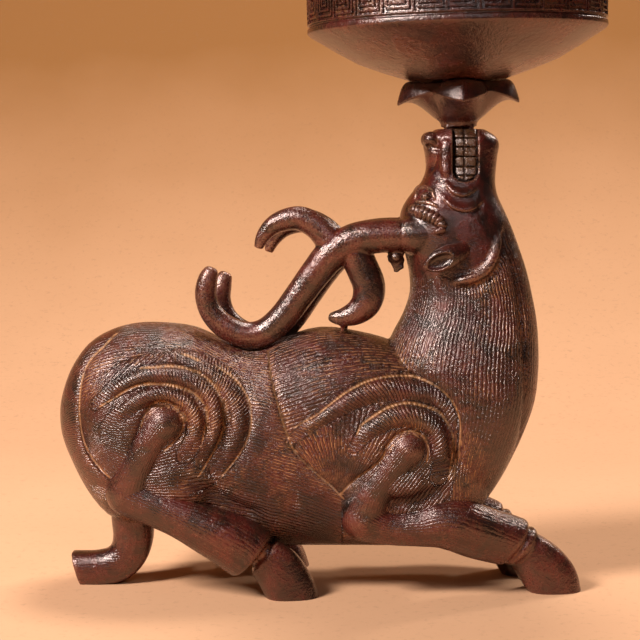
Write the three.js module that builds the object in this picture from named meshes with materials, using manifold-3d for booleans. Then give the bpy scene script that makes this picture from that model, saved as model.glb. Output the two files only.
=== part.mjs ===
// Bronze hill censer: a recumbent horned beast holds a bowl with a hill-shaped lid on its upturned muzzle.
// Millimetres, +Z up. The beast faces +X and its right side is -Y.
import * as THREE from 'three';
import { mergeVertices } from 'three/addons/utils/BufferGeometryUtils.js';
import Module from 'manifold-3d';

const wasm = await Module();
wasm.setup();

// Driving dimensions
const gap = 0.3;
const wall = 3.4;
const rumpX = -99;
const haunch = { x: -59, y: 22, z: 60, length: 29, depth: 11.5, height: 28 };
const shoulder = { x: 18, y: 19.5, z: 54, length: 28, depth: 12, height: 24 };
const collar = { x: 36, z: 59, slope: 62.7 };
const socket = { x: 44.5, width: 11.4, floor: 143 };
const mouth = { x: 45.8, width: 9, bottom: 146, depth: 2, cheek: 12.6 };
const seat = { x: 8, z: 17.3, length: 60, width: 18 };
const core = { length: 46, width: 10 };
const plateThick = 1.2;
const rivet = { radius: 1, head: 1.9, headHeight: 0.5, length: 5 };
const stemTop = { x: 44.2, z: 164.7, tilt: -1.55 };
const bowlRadius = 53;
const bowlFloor = 19.2;
const bowlUnder = 15.7;
const bandBottom = 36.4;
const rimHeight = 50.5;
const bowlWall = 3.2;
const calyxTip = 21.7;
const lidHeight = 67;
const lidWall = 2.6;
const smokeHole = 2.6;
const holeRise = 19;
const antlerRoot = { x: 27.5, y: 9.6, z: 126.6, radius: 3, depth: 4.5 };
const farBend = { x: 0.06, z: 0.035 };
const hoofTurn = { fore: 8, hind: 12 };
const leftHoof = { fore: { back: 6.5, out: 5 }, hind: { back: 4, out: 6.5 } };

// Trunk sections from rump to chest: x, top, bottom, half width
const trunkSections = [
  [rumpX, 66, 61, 5], [-98, 71, 54, 12], [-95, 79, 46, 18], [-89, 88, 35, 24],
  [-81, 92.3, 26, 28], [-72, 94.8, 23, 30], [-62, 95, 23.5, 31], [-50, 93.4, 21, 30.5],
  [-38, 88, 16.5, 29.6], [-28, 86, 15, 29], [-18, 90, 15, 28.5], [-5, 93.5, 15, 29],
  [9, 91.8, 15, 30], [22, 88, 15, 30], [36, 80, 15.5, 28], [47, 71, 20, 24], [54, 62, 29, 17],
];

// Neck and head sections from chest to muzzle: z, back x, throat x, half width
const neckSections = [
  [27, 34, 52, 11], [36, 27, 58, 19], [45, 22, 63, 24], [56, 20, 68, 27], [68, 19, 72, 28],
  [80, 17.5, 73.2, 26.5], [90, 20.3, 73, 24], [98, 24.4, 72.2, 21.5], [106, 27, 70.6, 20],
  [114, 26.6, 68.7, 19.3], [122, 24.8, 66, 19], [130, 23.2, 63, 18.4], [136, 24, 60.3, 17.6],
  [141, 27, 58, 16.4], [145.5, 30.8, 57.2, 14.4], [150, 32.5, 57.4, 12.8], [155, 32.2, 57.9, 12.2],
  [159, 31.5, 58.5, 11.8], [162, 32.8, 57, 11], [164.4, 36, 53, 8.6],
];

// Limb paths: x, y, z, radius
const thighPath = [[-58.8, 29, 63, 6.6], [-63.5, 29.4, 56.5, 5.8], [-68, 27.6, 48, 6.6], [-71.5, 23.5, 38.5, 8.8]];
const hindLegPath = [
  [-71.5, 23.5, 38, 8.8], [-62, 25.8, 33.8, 7.9], [-53, 26.8, 29.8, 7.9], [-45, 26.4, 25.6, 8.7],
  [-38, 24.8, 21.9, 9.7], [-33, 23, 18.8, 10.3], [-29.8, 21.9, 16.4, 10], [-28.4, 21.5, 15.1, 8],
];
const upperArmPath = [[25.2, 26.2, 53.5, 6.9], [19.5, 25.8, 46.5, 6.2], [13.5, 24.2, 38, 6.8], [10.5, 22.4, 30, 8.2]];
const foreLegPath = [
  [10.5, 22.4, 28.5, 8.3], [20, 22.6, 25.6, 6.7], [30, 22.6, 25.9, 7.5], [37, 22, 26.8, 9.2], [43, 20.4, 26, 9.9],
  [49.5, 17.8, 23, 9.8], [55.5, 15, 20.6, 9.4], [61, 12.8, 18.8, 9.2], [65, 11.8, 16.8, 8.9], [67, 11.4, 15.1, 7.2],
];
const hindHoof = [
  [0, -24.4, -5.4, 8], [5, -27, -7, 7.8], [9, -29.2, -9, 7.6], [12.5, -30, -11.2, 7.3], [15.5, -29.4, -13.6, 6.9],
  [18.6, -28, -16.8, 6.1], [21.4, -25.4, -20.6, 4],
];
const foreHoof = [
  [0, 69, 88.4, 8], [5, 65.8, 87.4, 7.9], [10, 63.2, 85, 7.7], [15, 63, 80.6, 7.2], [18.6, 65, 75.8, 6.1],
  [21, 67.5, 71.4, 4],
];
const tailPath = [
  [-73, 0, 34, 8], [-73.4, 0, 25, 7.8], [-73.2, 0, 17.3, 7.4], [-75, 0, 11, 6.9], [-79.5, 0, 6.8, 6.6],
  [-86, 0, 5.3, 6.4], [-95, 0, 4.9, 5.6],
];
const beamPath = [
  [26, 10, 127.1, 5.6], [16, 9.5, 126.8, 6.1], [7, 9, 125.4, 6], [-0.8, 8.5, 120.6, 6], [-6.9, 8, 113.4, 5.5],
  [-12.8, 7.5, 105.3, 5.2], [-18.6, 7, 97.6, 5.1], [-24.8, 6.5, 92.4, 5], [-31.4, 6.2, 91.3, 4.8],
  [-38.6, 6, 94, 4.5], [-43.8, 6, 99.2, 4.1], [-45.9, 6, 105.4, 3.9], [-45.2, 6, 110.8, 3.6], [-43.4, 6, 115.2, 1.9],
];
const upperTinePath = [
  [1, 8.5, 121, 5.6], [-3.4, 8, 127.2, 5], [-7.5, 7.6, 130.8, 4.6], [-12.5, 7.1, 132.9, 4.4], [-18, 6.6, 132.2, 3.9],
  [-22.3, 6.2, 130, 3.3], [-25.6, 6, 126.1, 2.5], [-27.2, 6, 121.9, 1.5],
];
const lowerTinePath = [
  [6, 8.5, 122.5, 5.4], [9.8, 8.5, 114.5, 5.5], [12, 8.5, 108.6, 5.6], [11.2, 8.5, 103.2, 5.5], [7.6, 8.5, 99.6, 4.5],
  [3, 8.5, 98, 3.3], [-2.4, 8.5, 98.2, 1],
];
const earPath = [
  [48, 15.5, 125.5, 2.6], [43.5, 19.5, 122.8, 3.6], [38.5, 21.6, 120, 4.1], [34, 22, 117.8, 3], [31, 21.8, 116, 1],
];
const browPath = [
  [24.6, 12.6, 138], [29, 14.6, 136.2], [33.5, 15.8, 135], [37.5, 16.8, 134], [39.4, 17.4, 131.5],
  [38.6, 17.8, 129], [36, 17.8, 128.4],
];
const browRadius = 2;
const eye = { x: 31.8, y: 13.4, z: 141, radius: 3.6 };

// Spiral rolls on haunch and shoulder, as seen from the side: x, z, radius
const rollRise = 1.8;
const haunchRolls = [
  [[-74, 66.5, 2.6], [-68.5, 71, 3.4], [-62, 73.4, 3.6], [-55.5, 73, 3.6], [-50.3, 69.8, 3.4], [-47.8, 64.5, 3.3],
    [-48.2, 58.5, 3.2], [-51.5, 52.5, 3]],
  [[-76, 74.5, 2.6], [-69, 78.3, 3.2], [-61, 80.2, 3.4], [-53, 79.4, 3.4], [-46.5, 76, 3.3], [-42.3, 70.6, 3.2],
    [-40.6, 64, 3.2], [-41.8, 57, 3], [-45.5, 50, 2.8]],
  [[-47.5, 83.8, 2.4], [-40.8, 79.4, 3.6], [-36.2, 74.5, 4], [-33.9, 68, 4.2], [-33.9, 61, 4.2], [-36.6, 53.5, 4],
    [-41, 47, 3.4]],
];
const shoulderRolls = [
  [[-9, 62, 2.4], [-3, 66.3, 3.2], [3, 70, 3.8], [9.5, 73, 4.2], [17, 75, 4.4], [25, 75, 4.4], [32, 72.8, 4.2],
    [37, 68.8, 3.8], [40.2, 63, 3]],
  [[9.5, 58.5, 2.6], [13, 61.7, 3.6], [18, 65, 4.2], [24, 66.2, 4.4], [30, 65, 4.4], [34.6, 61.6, 4.2],
    [37, 56.5, 4], [37.6, 50.5, 3.6], [36, 44, 3]],
];

const bronze = { color: 0x2e1b17, roughness: 0.42, metalness: 0.85 };
const wornBronze = { color: 0x4a2a1c, roughness: 0.4, metalness: 0.85 };

// Geometry helpers

// A closed skin over a row of sections that all have the same number of points
function skin(sections) {
  const sides = sections[0].length;
  const points = sections.flat();
  const index = [];
  for (let row = 0; row + 1 < sections.length; row += 1) {
    for (let side = 0; side < sides; side += 1) {
      const a = row * sides + side;
      const b = row * sides + (side + 1) % sides;
      index.push(a, b, b + sides, a, b + sides, a + sides);
    }
  }
  for (const row of [0, sections.length - 1]) {
    const centre = new THREE.Vector3();
    sections[row].forEach((point) => centre.addScaledVector(point, 1 / sides));
    points.push(centre);
    for (let side = 0; side < sides; side += 1) {
      const a = row * sides + side;
      const b = row * sides + (side + 1) % sides;
      index.push(...(row === 0 ? [b, a] : [a, b]), points.length - 1);
    }
  }
  return facingOut(new THREE.BufferGeometry().setFromPoints(points), index);
}

// Sets the triangles so that the enclosed volume is positive
function facingOut(geometry, index) {
  const place = geometry.attributes.position;
  const corner = [new THREE.Vector3(), new THREE.Vector3(), new THREE.Vector3()];
  let volume = 0;
  for (let i = 0; i < index.length; i += 3) {
    corner.forEach((point, k) => point.fromBufferAttribute(place, index[i + k]));
    volume += corner[0].dot(corner[1].clone().cross(corner[2]));
  }
  geometry.setIndex(volume > 0 ? index : index.reverse());
  return geometry;
}

// A superellipse with its two half sizes along two given directions
function section(centre, across, up, halfAcross, halfUp, power, sides) {
  return Array.from({ length: sides }, (unused, side) => {
    const angle = 2 * Math.PI * (side + 0.5) / sides;
    const swing = (value) => Math.sign(value) * Math.abs(value) ** (2 / power);
    return centre.clone()
      .addScaledVector(across, halfAcross * swing(Math.cos(angle)))
      .addScaledVector(up, halfUp * swing(Math.sin(angle)));
  });
}

const axisX = new THREE.Vector3(1, 0, 0);
const axisY = new THREE.Vector3(0, 1, 0);
const axisZ = new THREE.Vector3(0, 0, 1);

// Upright sections across the body, grown outwards by a distance that may be negative
function alongX(rows, grow, sides, power = 2.5) {
  return skin(rows.map(([x, top, bottom, half], i) => {
    const end = i === 0 ? -grow : i === rows.length - 1 ? grow : 0;
    const centre = new THREE.Vector3(x + end, 0, (top + bottom) / 2);
    return section(centre, axisY, axisZ, half + grow, (top - bottom) / 2 + grow, power, sides);
  }));
}

// Level sections up a neck or a hoof, centred on a side distance y
function alongZ(rows, grow, sides, power = 2.4, y = 0) {
  return skin(rows.map(([z, back, front, half], i) => {
    const end = i === 0 ? -grow : i === rows.length - 1 ? grow : 0;
    const centre = new THREE.Vector3((back + front) / 2, y, z + end);
    return section(centre, axisX, axisY, (front - back) / 2 + grow, half + grow, power, sides);
  }));
}

// A tapered round limb through points of x, y, z and radius; flat squeezes it across
function limb(path, side, sides = 10, steps = 2, flat = 1) {
  const curve = new THREE.CatmullRomCurve3(path.map(([x, y, z]) => new THREE.Vector3(x, side * y, z)));
  const count = (path.length - 1) * steps;
  const sections = [];
  for (let step = 0; step <= count; step += 1) {
    const place = step / steps;
    const low = Math.min(Math.floor(place), path.length - 2);
    const radius = THREE.MathUtils.lerp(path[low][3], path[low + 1][3], place - low);
    const along = curve.getTangent(step / count);
    const across = axisY.clone().addScaledVector(along, -axisY.dot(along)).normalize();
    const up = new THREE.Vector3().crossVectors(along, across);
    sections.push(section(curve.getPoint(step / count), across, up, radius * flat, radius, 2, sides));
  }
  return skin(sections);
}

function solid(geometry) {
  const bare = geometry.clone();
  bare.deleteAttribute('normal');
  bare.deleteAttribute('uv');
  const merged = mergeVertices(bare, 1e-4);
  return new wasm.Manifold(new wasm.Mesh({
    numProp: 3,
    vertProperties: new Float32Array(merged.attributes.position.array),
    triVerts: new Uint32Array(merged.index.array),
  }));
}

function union(...geometries) {
  return geometries.map(solid).reduce((sum, next) => sum.add(next));
}

function named(name, body, finish) {
  const { vertProperties, triVerts } = body.getMesh();
  const geometry = new THREE.BufferGeometry();
  geometry.setAttribute('position', new THREE.BufferAttribute(new Float32Array(vertProperties), 3));
  geometry.setIndex(new THREE.BufferAttribute(new Uint32Array(triVerts), 1));
  geometry.computeVertexNormals();
  const mesh = new THREE.Mesh(geometry, new THREE.MeshStandardMaterial(finish));
  mesh.name = name;
  return mesh;
}

function box(width, depth, height, x, y, z) {
  return new THREE.BoxGeometry(width, depth, height).translate(x, y, z);
}

function rod(radius, low, high, x = 0, y = 0, sides = 16) {
  return new THREE.CylinderGeometry(radius, radius, high - low, sides).rotateX(Math.PI / 2)
    .translate(x, y, (low + high) / 2);
}

function lathe(profile, segments) {
  return new THREE.LatheGeometry(profile.map(([r, z]) => new THREE.Vector2(r, z)), segments).rotateX(Math.PI / 2);
}

function ellipsoid(centre, radii, grow = 0, wide = 18, high = 10) {
  return new THREE.SphereGeometry(1, wide, high).rotateX(Math.PI / 2)
    .scale(radii[0] + grow, radii[1] + grow, radii[2] + grow).translate(...centre);
}

// Body form

// Half width of an upright or level superellipse at a share of its half height
function bulge(half, share, power) {
  return half * Math.max(0, 1 - Math.abs(share) ** power) ** (1 / power);
}

function between(rows, place) {
  const next = Math.max(1, rows.findIndex(([start]) => start >= place));
  const [low, high] = [rows[next - 1], rows[next]];
  return low.map((value, i) => THREE.MathUtils.lerp(value, high[i], (place - low[0]) / (high[0] - low[0])));
}

// How far the flank stands out from the middle plane at a place seen from the side
function flank(x, z) {
  const [, top, bottom, half] = between(trunkSections, x);
  const [, back, front, neckHalf] = between(neckSections, z);
  const muscleOut = [haunch, shoulder].map((part) => {
    const left = 1 - ((x - part.x) / part.length) ** 2 - ((z - part.z) / part.height) ** 2;
    return left > 0 ? part.y + part.depth * Math.sqrt(left) : 0;
  });
  return Math.max(
    ...muscleOut,
    bulge(half, (2 * z - top - bottom) / (top - bottom), 2.5),
    bulge(neckHalf, (2 * x - back - front) / (front - back), 2.4),
  );
}

// A roll of the spirals, half sunk into the muscle
function spiralRoll(places, side, grow) {
  const path = places.map(([x, z, radius]) => [x, flank(x, z) + rollRise - radius, z, radius + grow]);
  return limb(path, side, 7, 1);
}

function rolls(grow) {
  const all = [...haunchRolls, ...shoulderRolls];
  return [1, -1].flatMap((side) => all.map((places) => spiralRoll(places, side, grow)));
}

function muscles(grow) {
  return [1, -1].flatMap((side) => [haunch, shoulder].map((part) => ellipsoid(
    [part.x, side * part.y, part.z], [part.length, part.depth, part.height], grow,
  )));
}

function bodyForm(grow) {
  return union(alongX(trunkSections, grow, 24), alongZ(neckSections, grow, 20), ...muscles(grow), ...rolls(grow));
}

function bodyHollow() {
  const neckRows = neckSections.filter(([z]) => z < 137);
  return union(alongX(trunkSections.slice(1), -wall, 14), alongZ(neckRows, -wall, 14));
}

// The half space on one side of the sloping collar joint
function beyondCollar(side) {
  const size = 400;
  const block = box(size, size, size, side * (size + gap) / 2, 0, 0);
  return solid(block.rotateY(-THREE.MathUtils.degToRad(90 - collar.slope)).translate(collar.x, 0, collar.z));
}

const outside = bodyForm(0);
const clearance = bodyForm(gap);
const shell = outside.subtract(bodyHollow());

function rivetPlaces() {
  const dx = seat.length / 2 - 4;
  const dy = seat.width / 2 - 2;
  return [[-dx, -dy], [dx, -dy], [-dx, dy], [dx, dy]].map(([x, y]) => [seat.x + x, y]);
}

function trunkCasting() {
  let body = shell.intersect(beyondCollar(-1));
  body = body.subtract(solid(box(seat.length + 1, seat.width + 1, 10, seat.x, 0, seat.z - 5)));
  body = body.subtract(solid(box(core.length, core.width, 30, seat.x, 0, seat.z)));
  for (const [x, y] of rivetPlaces()) {
    body = body.subtract(solid(rod(rivet.radius + gap, 5, 30, x, y, 10)));
  }
  return named('trunk_casting', body, bronze);
}

function tenon(side, grow) {
  const depth = antlerRoot.depth + grow;
  const pin = new THREE.CylinderGeometry(antlerRoot.radius + grow, antlerRoot.radius + grow, depth + 6, 12);
  pin.rotateZ(Math.PI / 2);
  return solid(pin.translate(antlerRoot.x + (depth - 6) / 2, side * antlerRoot.y, antlerRoot.z));
}

function browRoll(side) {
  return limb(browPath.map((point) => [...point, browRadius]), side, 8, 1);
}

function neckAndHead() {
  let body = shell;
  for (const side of [1, -1]) {
    body = body.add(solid(browRoll(side)));
    body = body.add(solid(ellipsoid([eye.x, side * eye.y, eye.z], Array(3).fill(eye.radius), 0, 12, 8)));
    body = body.subtract(tenon(side, gap));
    const recessY = side * (mouth.cheek - mouth.depth + 5);
    body = body.subtract(solid(box(mouth.width, 10, 40, mouth.x, recessY, mouth.bottom + 20)));
  }
  const pocket = box(socket.width, socket.width, 60, socket.x, 0, socket.floor + 30);
  body = body.subtract(solid(pocket)).intersect(beyondCollar(1));
  return named('neck_and_head_casting', body, bronze);
}

// The left antler is bent a little forwards and down, more towards its tips
function antlerPath(path, side) {
  if (side < 0) return path;
  return path.map(([x, y, z, radius]) => {
    const reach = antlerRoot.x - x;
    return [x + farBend.x * reach, y, z - farBend.z * reach, radius];
  });
}

function antler(name, side) {
  const [beam, upper, lower] = [beamPath, upperTinePath, lowerTinePath].map((path) => antlerPath(path, side));
  const body = union(limb(beam, side, 10, 1), limb(upper, side, 8, 1), limb(lower, side, 8, 1));
  return named(name, body.subtract(clearance).add(tenon(side, 0)), wornBronze);
}

function ear(name, side) {
  return named(name, solid(limb(earPath, side, 8, 1, 0.6)).subtract(clearance), bronze);
}

// The left hooves stand a few millimetres further back and out than the right ones
function shankPath(path, { back, out }, side) {
  if (side < 0) return path;
  return path.map(([x, y, z, radius], i) => {
    const share = i / (path.length - 1);
    return [x - back * share, y + out * share, z, radius];
  });
}

// A folded leg: the upper bone from its knob, the shank and the hoof, turned a little inwards
function leg(name, { upper, shank, hoofRows, turn, left }, side) {
  const lower = shankPath(shank, left, side);
  const [knob, joint, ankle] = [upper[0], lower[0], lower[lower.length - 1]];
  const balls = [knob, joint].map(([x, y, z, radius]) => ellipsoid([x, side * y, z], [radius, radius, radius], 0, 12, 8));
  const heel = hoofRows[0][1];
  const step = side > 0 ? left.back : 0;
  const hoof = alongZ(hoofRows, 0, 12, 2.6).translate(-heel, 0, 0)
    .rotateZ(-side * THREE.MathUtils.degToRad(turn)).translate(heel - step, side * ankle[1], 0);
  const body = union(limb(upper, side, 10, 1), limb(lower, side, 10, 1), ...balls, hoof);
  return named(name, body.subtract(clearance), bronze);
}

function tail() {
  const aboveFloor = solid(box(60, 40, 60, -80, 0, 30));
  return named('tail', solid(limb(tailPath, 1, 12, 1)).intersect(aboveFloor).subtract(clearance), bronze);
}

function bellyPlate() {
  const top = seat.z - gap;
  let body = solid(box(seat.length, seat.width, plateThick, seat.x, 0, top - plateThick / 2));
  for (const [x, y] of rivetPlaces()) {
    body = body.subtract(solid(rod(rivet.radius + gap, 5, 30, x, y, 10)));
  }
  return named('belly_plate', body, wornBronze);
}

function plateRivet(number, x, y) {
  const headTop = seat.z - gap - plateThick - gap;
  const profile = [
    [0, headTop - rivet.headHeight], [rivet.head * 0.6, headTop - rivet.headHeight], [rivet.head, headTop],
    [rivet.radius, headTop], [rivet.radius, headTop + rivet.length], [0, headTop + rivet.length],
  ];
  return named(`belly_plate_rivet_${number}`, solid(lathe(profile, 10).translate(x, y, 0)), wornBronze);
}

// Bowl assembly, in a frame that stands on the muzzle

// A level ring with four pointed lobes, to the front, the back and both sides: radius at the tips, height
// between them, share cut back between them, and how far the tips rise or sink
function calyxSection(radius, height, lobe, rise) {
  const sides = 32;
  return Array.from({ length: sides }, (unused, side) => {
    const turn = 8 * side / sides;
    const petal = Math.abs(turn % 2 - 1);
    const reach = radius * (1 - lobe * (1 - petal));
    const angle = 2 * Math.PI * side / sides;
    return new THREE.Vector3(reach * Math.cos(angle), reach * Math.sin(angle), height + rise * petal);
  });
}

function calyxStem() {
  const sections = [
    [6.4, 0.5, 0, 0], [6.7, 2.2, 0, 0], [9.3, 4.4, 0.04, -0.1], [12.7, 7.4, 0.12, -0.2], [15.8, 9.9, 0.2, -0.8],
    [18.8, 11.8, 0.28, -2.3], [calyxTip - 0.6, 12.8, 0.34, -3.9], [calyxTip, 13.4, 0.36, -3.2],
    [calyxTip - 0.5, 14, 0.36, -0.8], [20.2, 14.6, 0.34, 1.6], [18.6, 15, 0.3, 2], [12, bowlUnder - gap, 0, 0],
  ].map((row) => calyxSection(...row));
  const tangDepth = stemTop.z - socket.floor - 1.5;
  const tangWidth = socket.width - 2 * gap - 1;
  const tang = box(tangWidth, tangWidth, tangDepth + 1, 0, 0, (1 - tangDepth) / 2);
  let body = solid(skin(sections)).add(solid(tang));
  body = body.subtract(solid(rod(2.7, 8, 20)));
  return named('calyx_stem', body, bronze);
}

function bowl() {
  const inner = bowlRadius - bowlWall;
  const profile = [
    [0, bowlUnder], [17.3, 17.1], [27.6, 20.8], [35.4, 23.4], [43.2, 28], [48, 31.8], [52.4, 33.6],
    [bowlRadius, 34.8], [bowlRadius - 0.5, bandBottom], [bowlRadius - 0.5, rimHeight - 1.5], [bowlRadius, rimHeight],
    [inner, rimHeight], [inner, 38], [42, 29.6], [30, 24], [14, bowlFloor], [0, bowlFloor],
  ];
  return named('bowl', solid(lathe(profile, 40)).subtract(solid(rod(2.7, 10, 25, 0, 0, 12))), bronze);
}

const washerTop = bowlFloor + gap + 1.3;

function bowlRivetWasher() {
  const profile = [[2.7, bowlFloor + gap], [7, bowlFloor + gap], [7, washerTop], [2.7, washerTop], [2.7, bowlFloor + gap]];
  return named('bowl_rivet_washer', solid(lathe(profile, 20)), wornBronze);
}

function bowlRivet() {
  const seatHeight = washerTop + gap;
  const profile = [
    [0, 8.6], [2.4, 8.6], [2.4, seatHeight], [5, seatHeight], [4.2, seatHeight + 1.8], [2, seatHeight + 2.6],
    [0, seatHeight + 2.8],
  ];
  return named('bowl_rivet', solid(lathe(profile, 16)), wornBronze);
}

// Lid: a pierced shell with three tiers of overlapping peaks

const lidBase = rimHeight + gap;
const lidTop = lidBase + lidHeight;
const tiers = [
  { count: 12, base: 1, height: 25, width: 20, turn: 0 },
  { count: 9, base: 15, height: 27, width: 20, turn: 0.5 },
  { count: 6, base: 31, height: 25, width: 19, turn: 0 },
];

function hillRadius(height) {
  const share = THREE.MathUtils.clamp(height / (lidHeight - 6), 0, 1);
  return 46 * (1 - share ** 1.3) ** 0.75 + 1.5;
}

const spigot = { radius: bowlRadius - bowlWall - 0.5, depth: 6 };

function hillSolid() {
  const outer = [2.5, 12, 24, 36, 48, 57].map((height) => [hillRadius(height), lidBase + height]);
  return solid(lathe([
    [0, lidBase - spigot.depth], [spigot.radius, lidBase - spigot.depth], [spigot.radius, lidBase],
    [bowlRadius, lidBase], ...outer, [0, lidBase + lidHeight - 5],
  ], 28));
}

// A pointed peak that stands off the hill: leaf-shaped sections that narrow to the tip.
// Each row gives its share of the height and width, how far it stands out, and its half depth
function peak({ base, height, width }) {
  const rows = [[0, 1, 3.6, 4.2], [0.4, 0.92, 4.8, 4.2], [0.72, 0.55, 5.2, 3.2], [1, 0.06, 4.2, 0.6]];
  return skin(rows.map(([rise, wide, stand, depth]) => {
    const z = base + rise * height;
    const centre = new THREE.Vector3(hillRadius(z) + stand - depth, 0, lidBase + z);
    return section(centre, axisX, axisY, depth, width * wide / 2, 1.6, 6);
  }));
}

function lidMountain() {
  let body = hillSolid();
  for (const tier of tiers) {
    for (let i = 0; i < tier.count; i += 1) {
      const angle = 2 * Math.PI * (i + tier.turn) / tier.count;
      body = body.add(solid(peak(tier).rotateZ(angle)));
    }
  }
  const summit = [[7.5, lidBase + 48], [6.2, lidBase + 54], [3.4, lidBase + 61], [0.5, lidTop]];
  body = body.add(solid(lathe([[0, lidBase + 50], ...summit, [0, lidTop]], 8)));
  body = body.subtract(chamber());
  for (const tier of tiers) {
    for (let i = 0; i < tier.count; i += 1) {
      const angle = 2 * Math.PI * (i + tier.turn + 0.5) / tier.count;
      const hole = new THREE.CylinderGeometry(smokeHole, smokeHole, 24, 6).rotateZ(Math.PI / 2).scale(1, 1, 1.3);
      hole.translate(hillRadius(tier.base + holeRise), 0, lidBase + tier.base + holeRise);
      body = body.subtract(solid(hole.rotateZ(angle)));
    }
  }
  return named('lid_mountain', body, bronze);
}

// The hollow under the hill, open at the foot of the spigot
function chamber() {
  const low = lidBase - spigot.depth - 2;
  const edge = [12, 24, 36, 46].map((height) => [hillRadius(height) - lidWall - 0.6, lidBase + height]);
  const throat = spigot.radius - lidWall;
  return solid(lathe([[0, low], [throat, low], [throat, lidBase], ...edge, [0, lidBase + 52]], 20));
}

const foreLeg = {
  upper: upperArmPath, shank: foreLegPath, hoofRows: foreHoof, turn: hoofTurn.fore, left: leftHoof.fore,
};
const hindLeg = {
  upper: thighPath, shank: hindLegPath, hoofRows: hindHoof, turn: hoofTurn.hind, left: leftHoof.hind,
};

const model = new THREE.Group();
model.add(trunkCasting(), neckAndHead(), tail(), bellyPlate());
for (const [name, side] of [['right', -1], ['left', 1]]) {
  model.add(antler(`antler_${name}`, side), ear(`ear_${name}`, side));
  model.add(leg(`fore_leg_${name}`, foreLeg, side), leg(`hind_leg_${name}`, hindLeg, side));
}
rivetPlaces().forEach(([x, y], i) => model.add(plateRivet(i + 1, x, y)));

const bowlAssembly = new THREE.Group();
bowlAssembly.position.set(stemTop.x, 0, stemTop.z);
bowlAssembly.rotation.y = THREE.MathUtils.degToRad(stemTop.tilt);
bowlAssembly.add(calyxStem(), bowl(), bowlRivetWasher(), bowlRivet(), lidMountain());
model.add(bowlAssembly);

export default model;
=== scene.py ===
# Bronze hill censer: a recumbent horned beast carries a bowl with a hill-shaped lid on its upturned muzzle.
# Shapes are worked out in millimetres and laid into the meshes in metres. The beast faces +X.
import math

import bmesh
import bpy
import numpy as np
from mathutils import Matrix, Vector


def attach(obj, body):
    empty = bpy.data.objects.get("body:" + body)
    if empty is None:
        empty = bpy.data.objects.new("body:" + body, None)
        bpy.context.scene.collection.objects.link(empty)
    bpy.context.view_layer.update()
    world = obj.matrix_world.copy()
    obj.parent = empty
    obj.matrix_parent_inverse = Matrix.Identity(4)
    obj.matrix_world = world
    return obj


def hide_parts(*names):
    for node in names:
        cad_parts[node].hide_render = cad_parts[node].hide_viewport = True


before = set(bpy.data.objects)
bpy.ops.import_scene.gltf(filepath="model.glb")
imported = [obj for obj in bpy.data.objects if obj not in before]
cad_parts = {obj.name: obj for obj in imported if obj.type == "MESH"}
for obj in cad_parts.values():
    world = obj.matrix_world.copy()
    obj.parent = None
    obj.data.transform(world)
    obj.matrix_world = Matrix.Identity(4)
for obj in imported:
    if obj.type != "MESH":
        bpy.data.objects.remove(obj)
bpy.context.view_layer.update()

MM = 0.001
X_AXIS, Y_AXIS, Z_AXIS = np.eye(3)

# Camera, at the photograph's place
CAMERA_PLACE = (-0.00162, -0.616, 0.1555)
CAMERA_LOOK = (-10, 1711, -165)
CAMERA_LENS = 96.7

# Trunk sections from rump to chest: x, top, bottom, half width
TRUNK = [
    (-98.4, 66, 61, 5), (-97.3, 71, 54, 12), (-94.2, 79.5, 46, 18), (-88.5, 87.6, 35, 24),
    (-81, 92.3, 26, 28), (-72, 94.8, 23, 30), (-62, 95, 23.5, 31), (-50, 93.4, 21, 30.5),
    (-38, 88, 16.5, 29.6), (-28, 86, 15, 29), (-18, 90, 15, 28.5), (-5, 93.5, 15, 29),
    (9, 91.8, 15, 30), (22, 88, 15, 30), (36, 80, 15.5, 28), (47, 71, 20, 24), (54, 62, 29, 17),
]
# Neck and head sections from chest to muzzle: z, back x, throat x, half width
NECK = [
    (27, 34, 52, 11), (36, 27, 58, 19), (45, 22, 63, 24), (56, 20, 68, 27), (68, 19, 72, 28),
    (80, 17.5, 73.2, 26.5), (90, 20.3, 73, 24), (98, 24.4, 72.2, 21.5), (106, 27, 70.6, 20),
    (114, 26.6, 68.7, 19.3), (122, 24.8, 66, 19), (130, 23.2, 63, 18.4), (136, 24, 60.3, 17.6),
    (141, 27, 58, 16.4), (145.5, 30.8, 57.2, 14.4), (150, 32.5, 57.4, 12.8),
    (155, 32.2, 57.9, 12.2), (159, 31.5, 58.5, 11.8), (162, 32.8, 57, 11), (164.4, 36, 53, 8.6),
]
TRUNK_POWER = 2.5
NECK_POWER = 2.4
HAUNCH = {"centre": (-59, 22, 60), "radii": (29, 11.5, 28)}
SHOULDER = {"centre": (18, 19.5, 54), "radii": (28, 12, 24)}
# Flesh beside the thigh and the upper arm
THIGH_FLESH = {"centre": (-56, 22, 44), "radii": (18, 11.6, 14)}
ARM_FLESH = {"centre": (22, 19.5, 43), "radii": (16, 11.8, 13)}
# The part of the head that is meshed finely, above a height and off the middle plane
FACE = {"low": 133, "inner": 5}
# Where the lines of the head are carved, and where the mouth is
HEAD = {"low": 105, "front": 50}
CHEEK = {"low": 140, "back": 36, "margin": (6, 8)}
# Carving fades out where the surface turns away from the side
FLANK_TURN = (0.1, 0.45)
EAR_TURN = (0.1, 0.5)
COLLAR = {"point": (36, 0, 59), "slope": 62.7}
SEAT = {"low": (-22.5, -9.5, 0), "high": (38.5, 9.5, 17.3)}
SOCKET = {"low": (38.8, -5.7, 143), "high": (50.2, 5.7, 170)}

# How far each kind of roll stands out of the flank or the face
RISE = {
    "spiral": 1.7, "mouth": 1.1, "lip": 1.4, "jowl": 1.5, "brow": 1.9, "upper_lid": 0.6, "lower_lid": 0.7,
}
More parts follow.
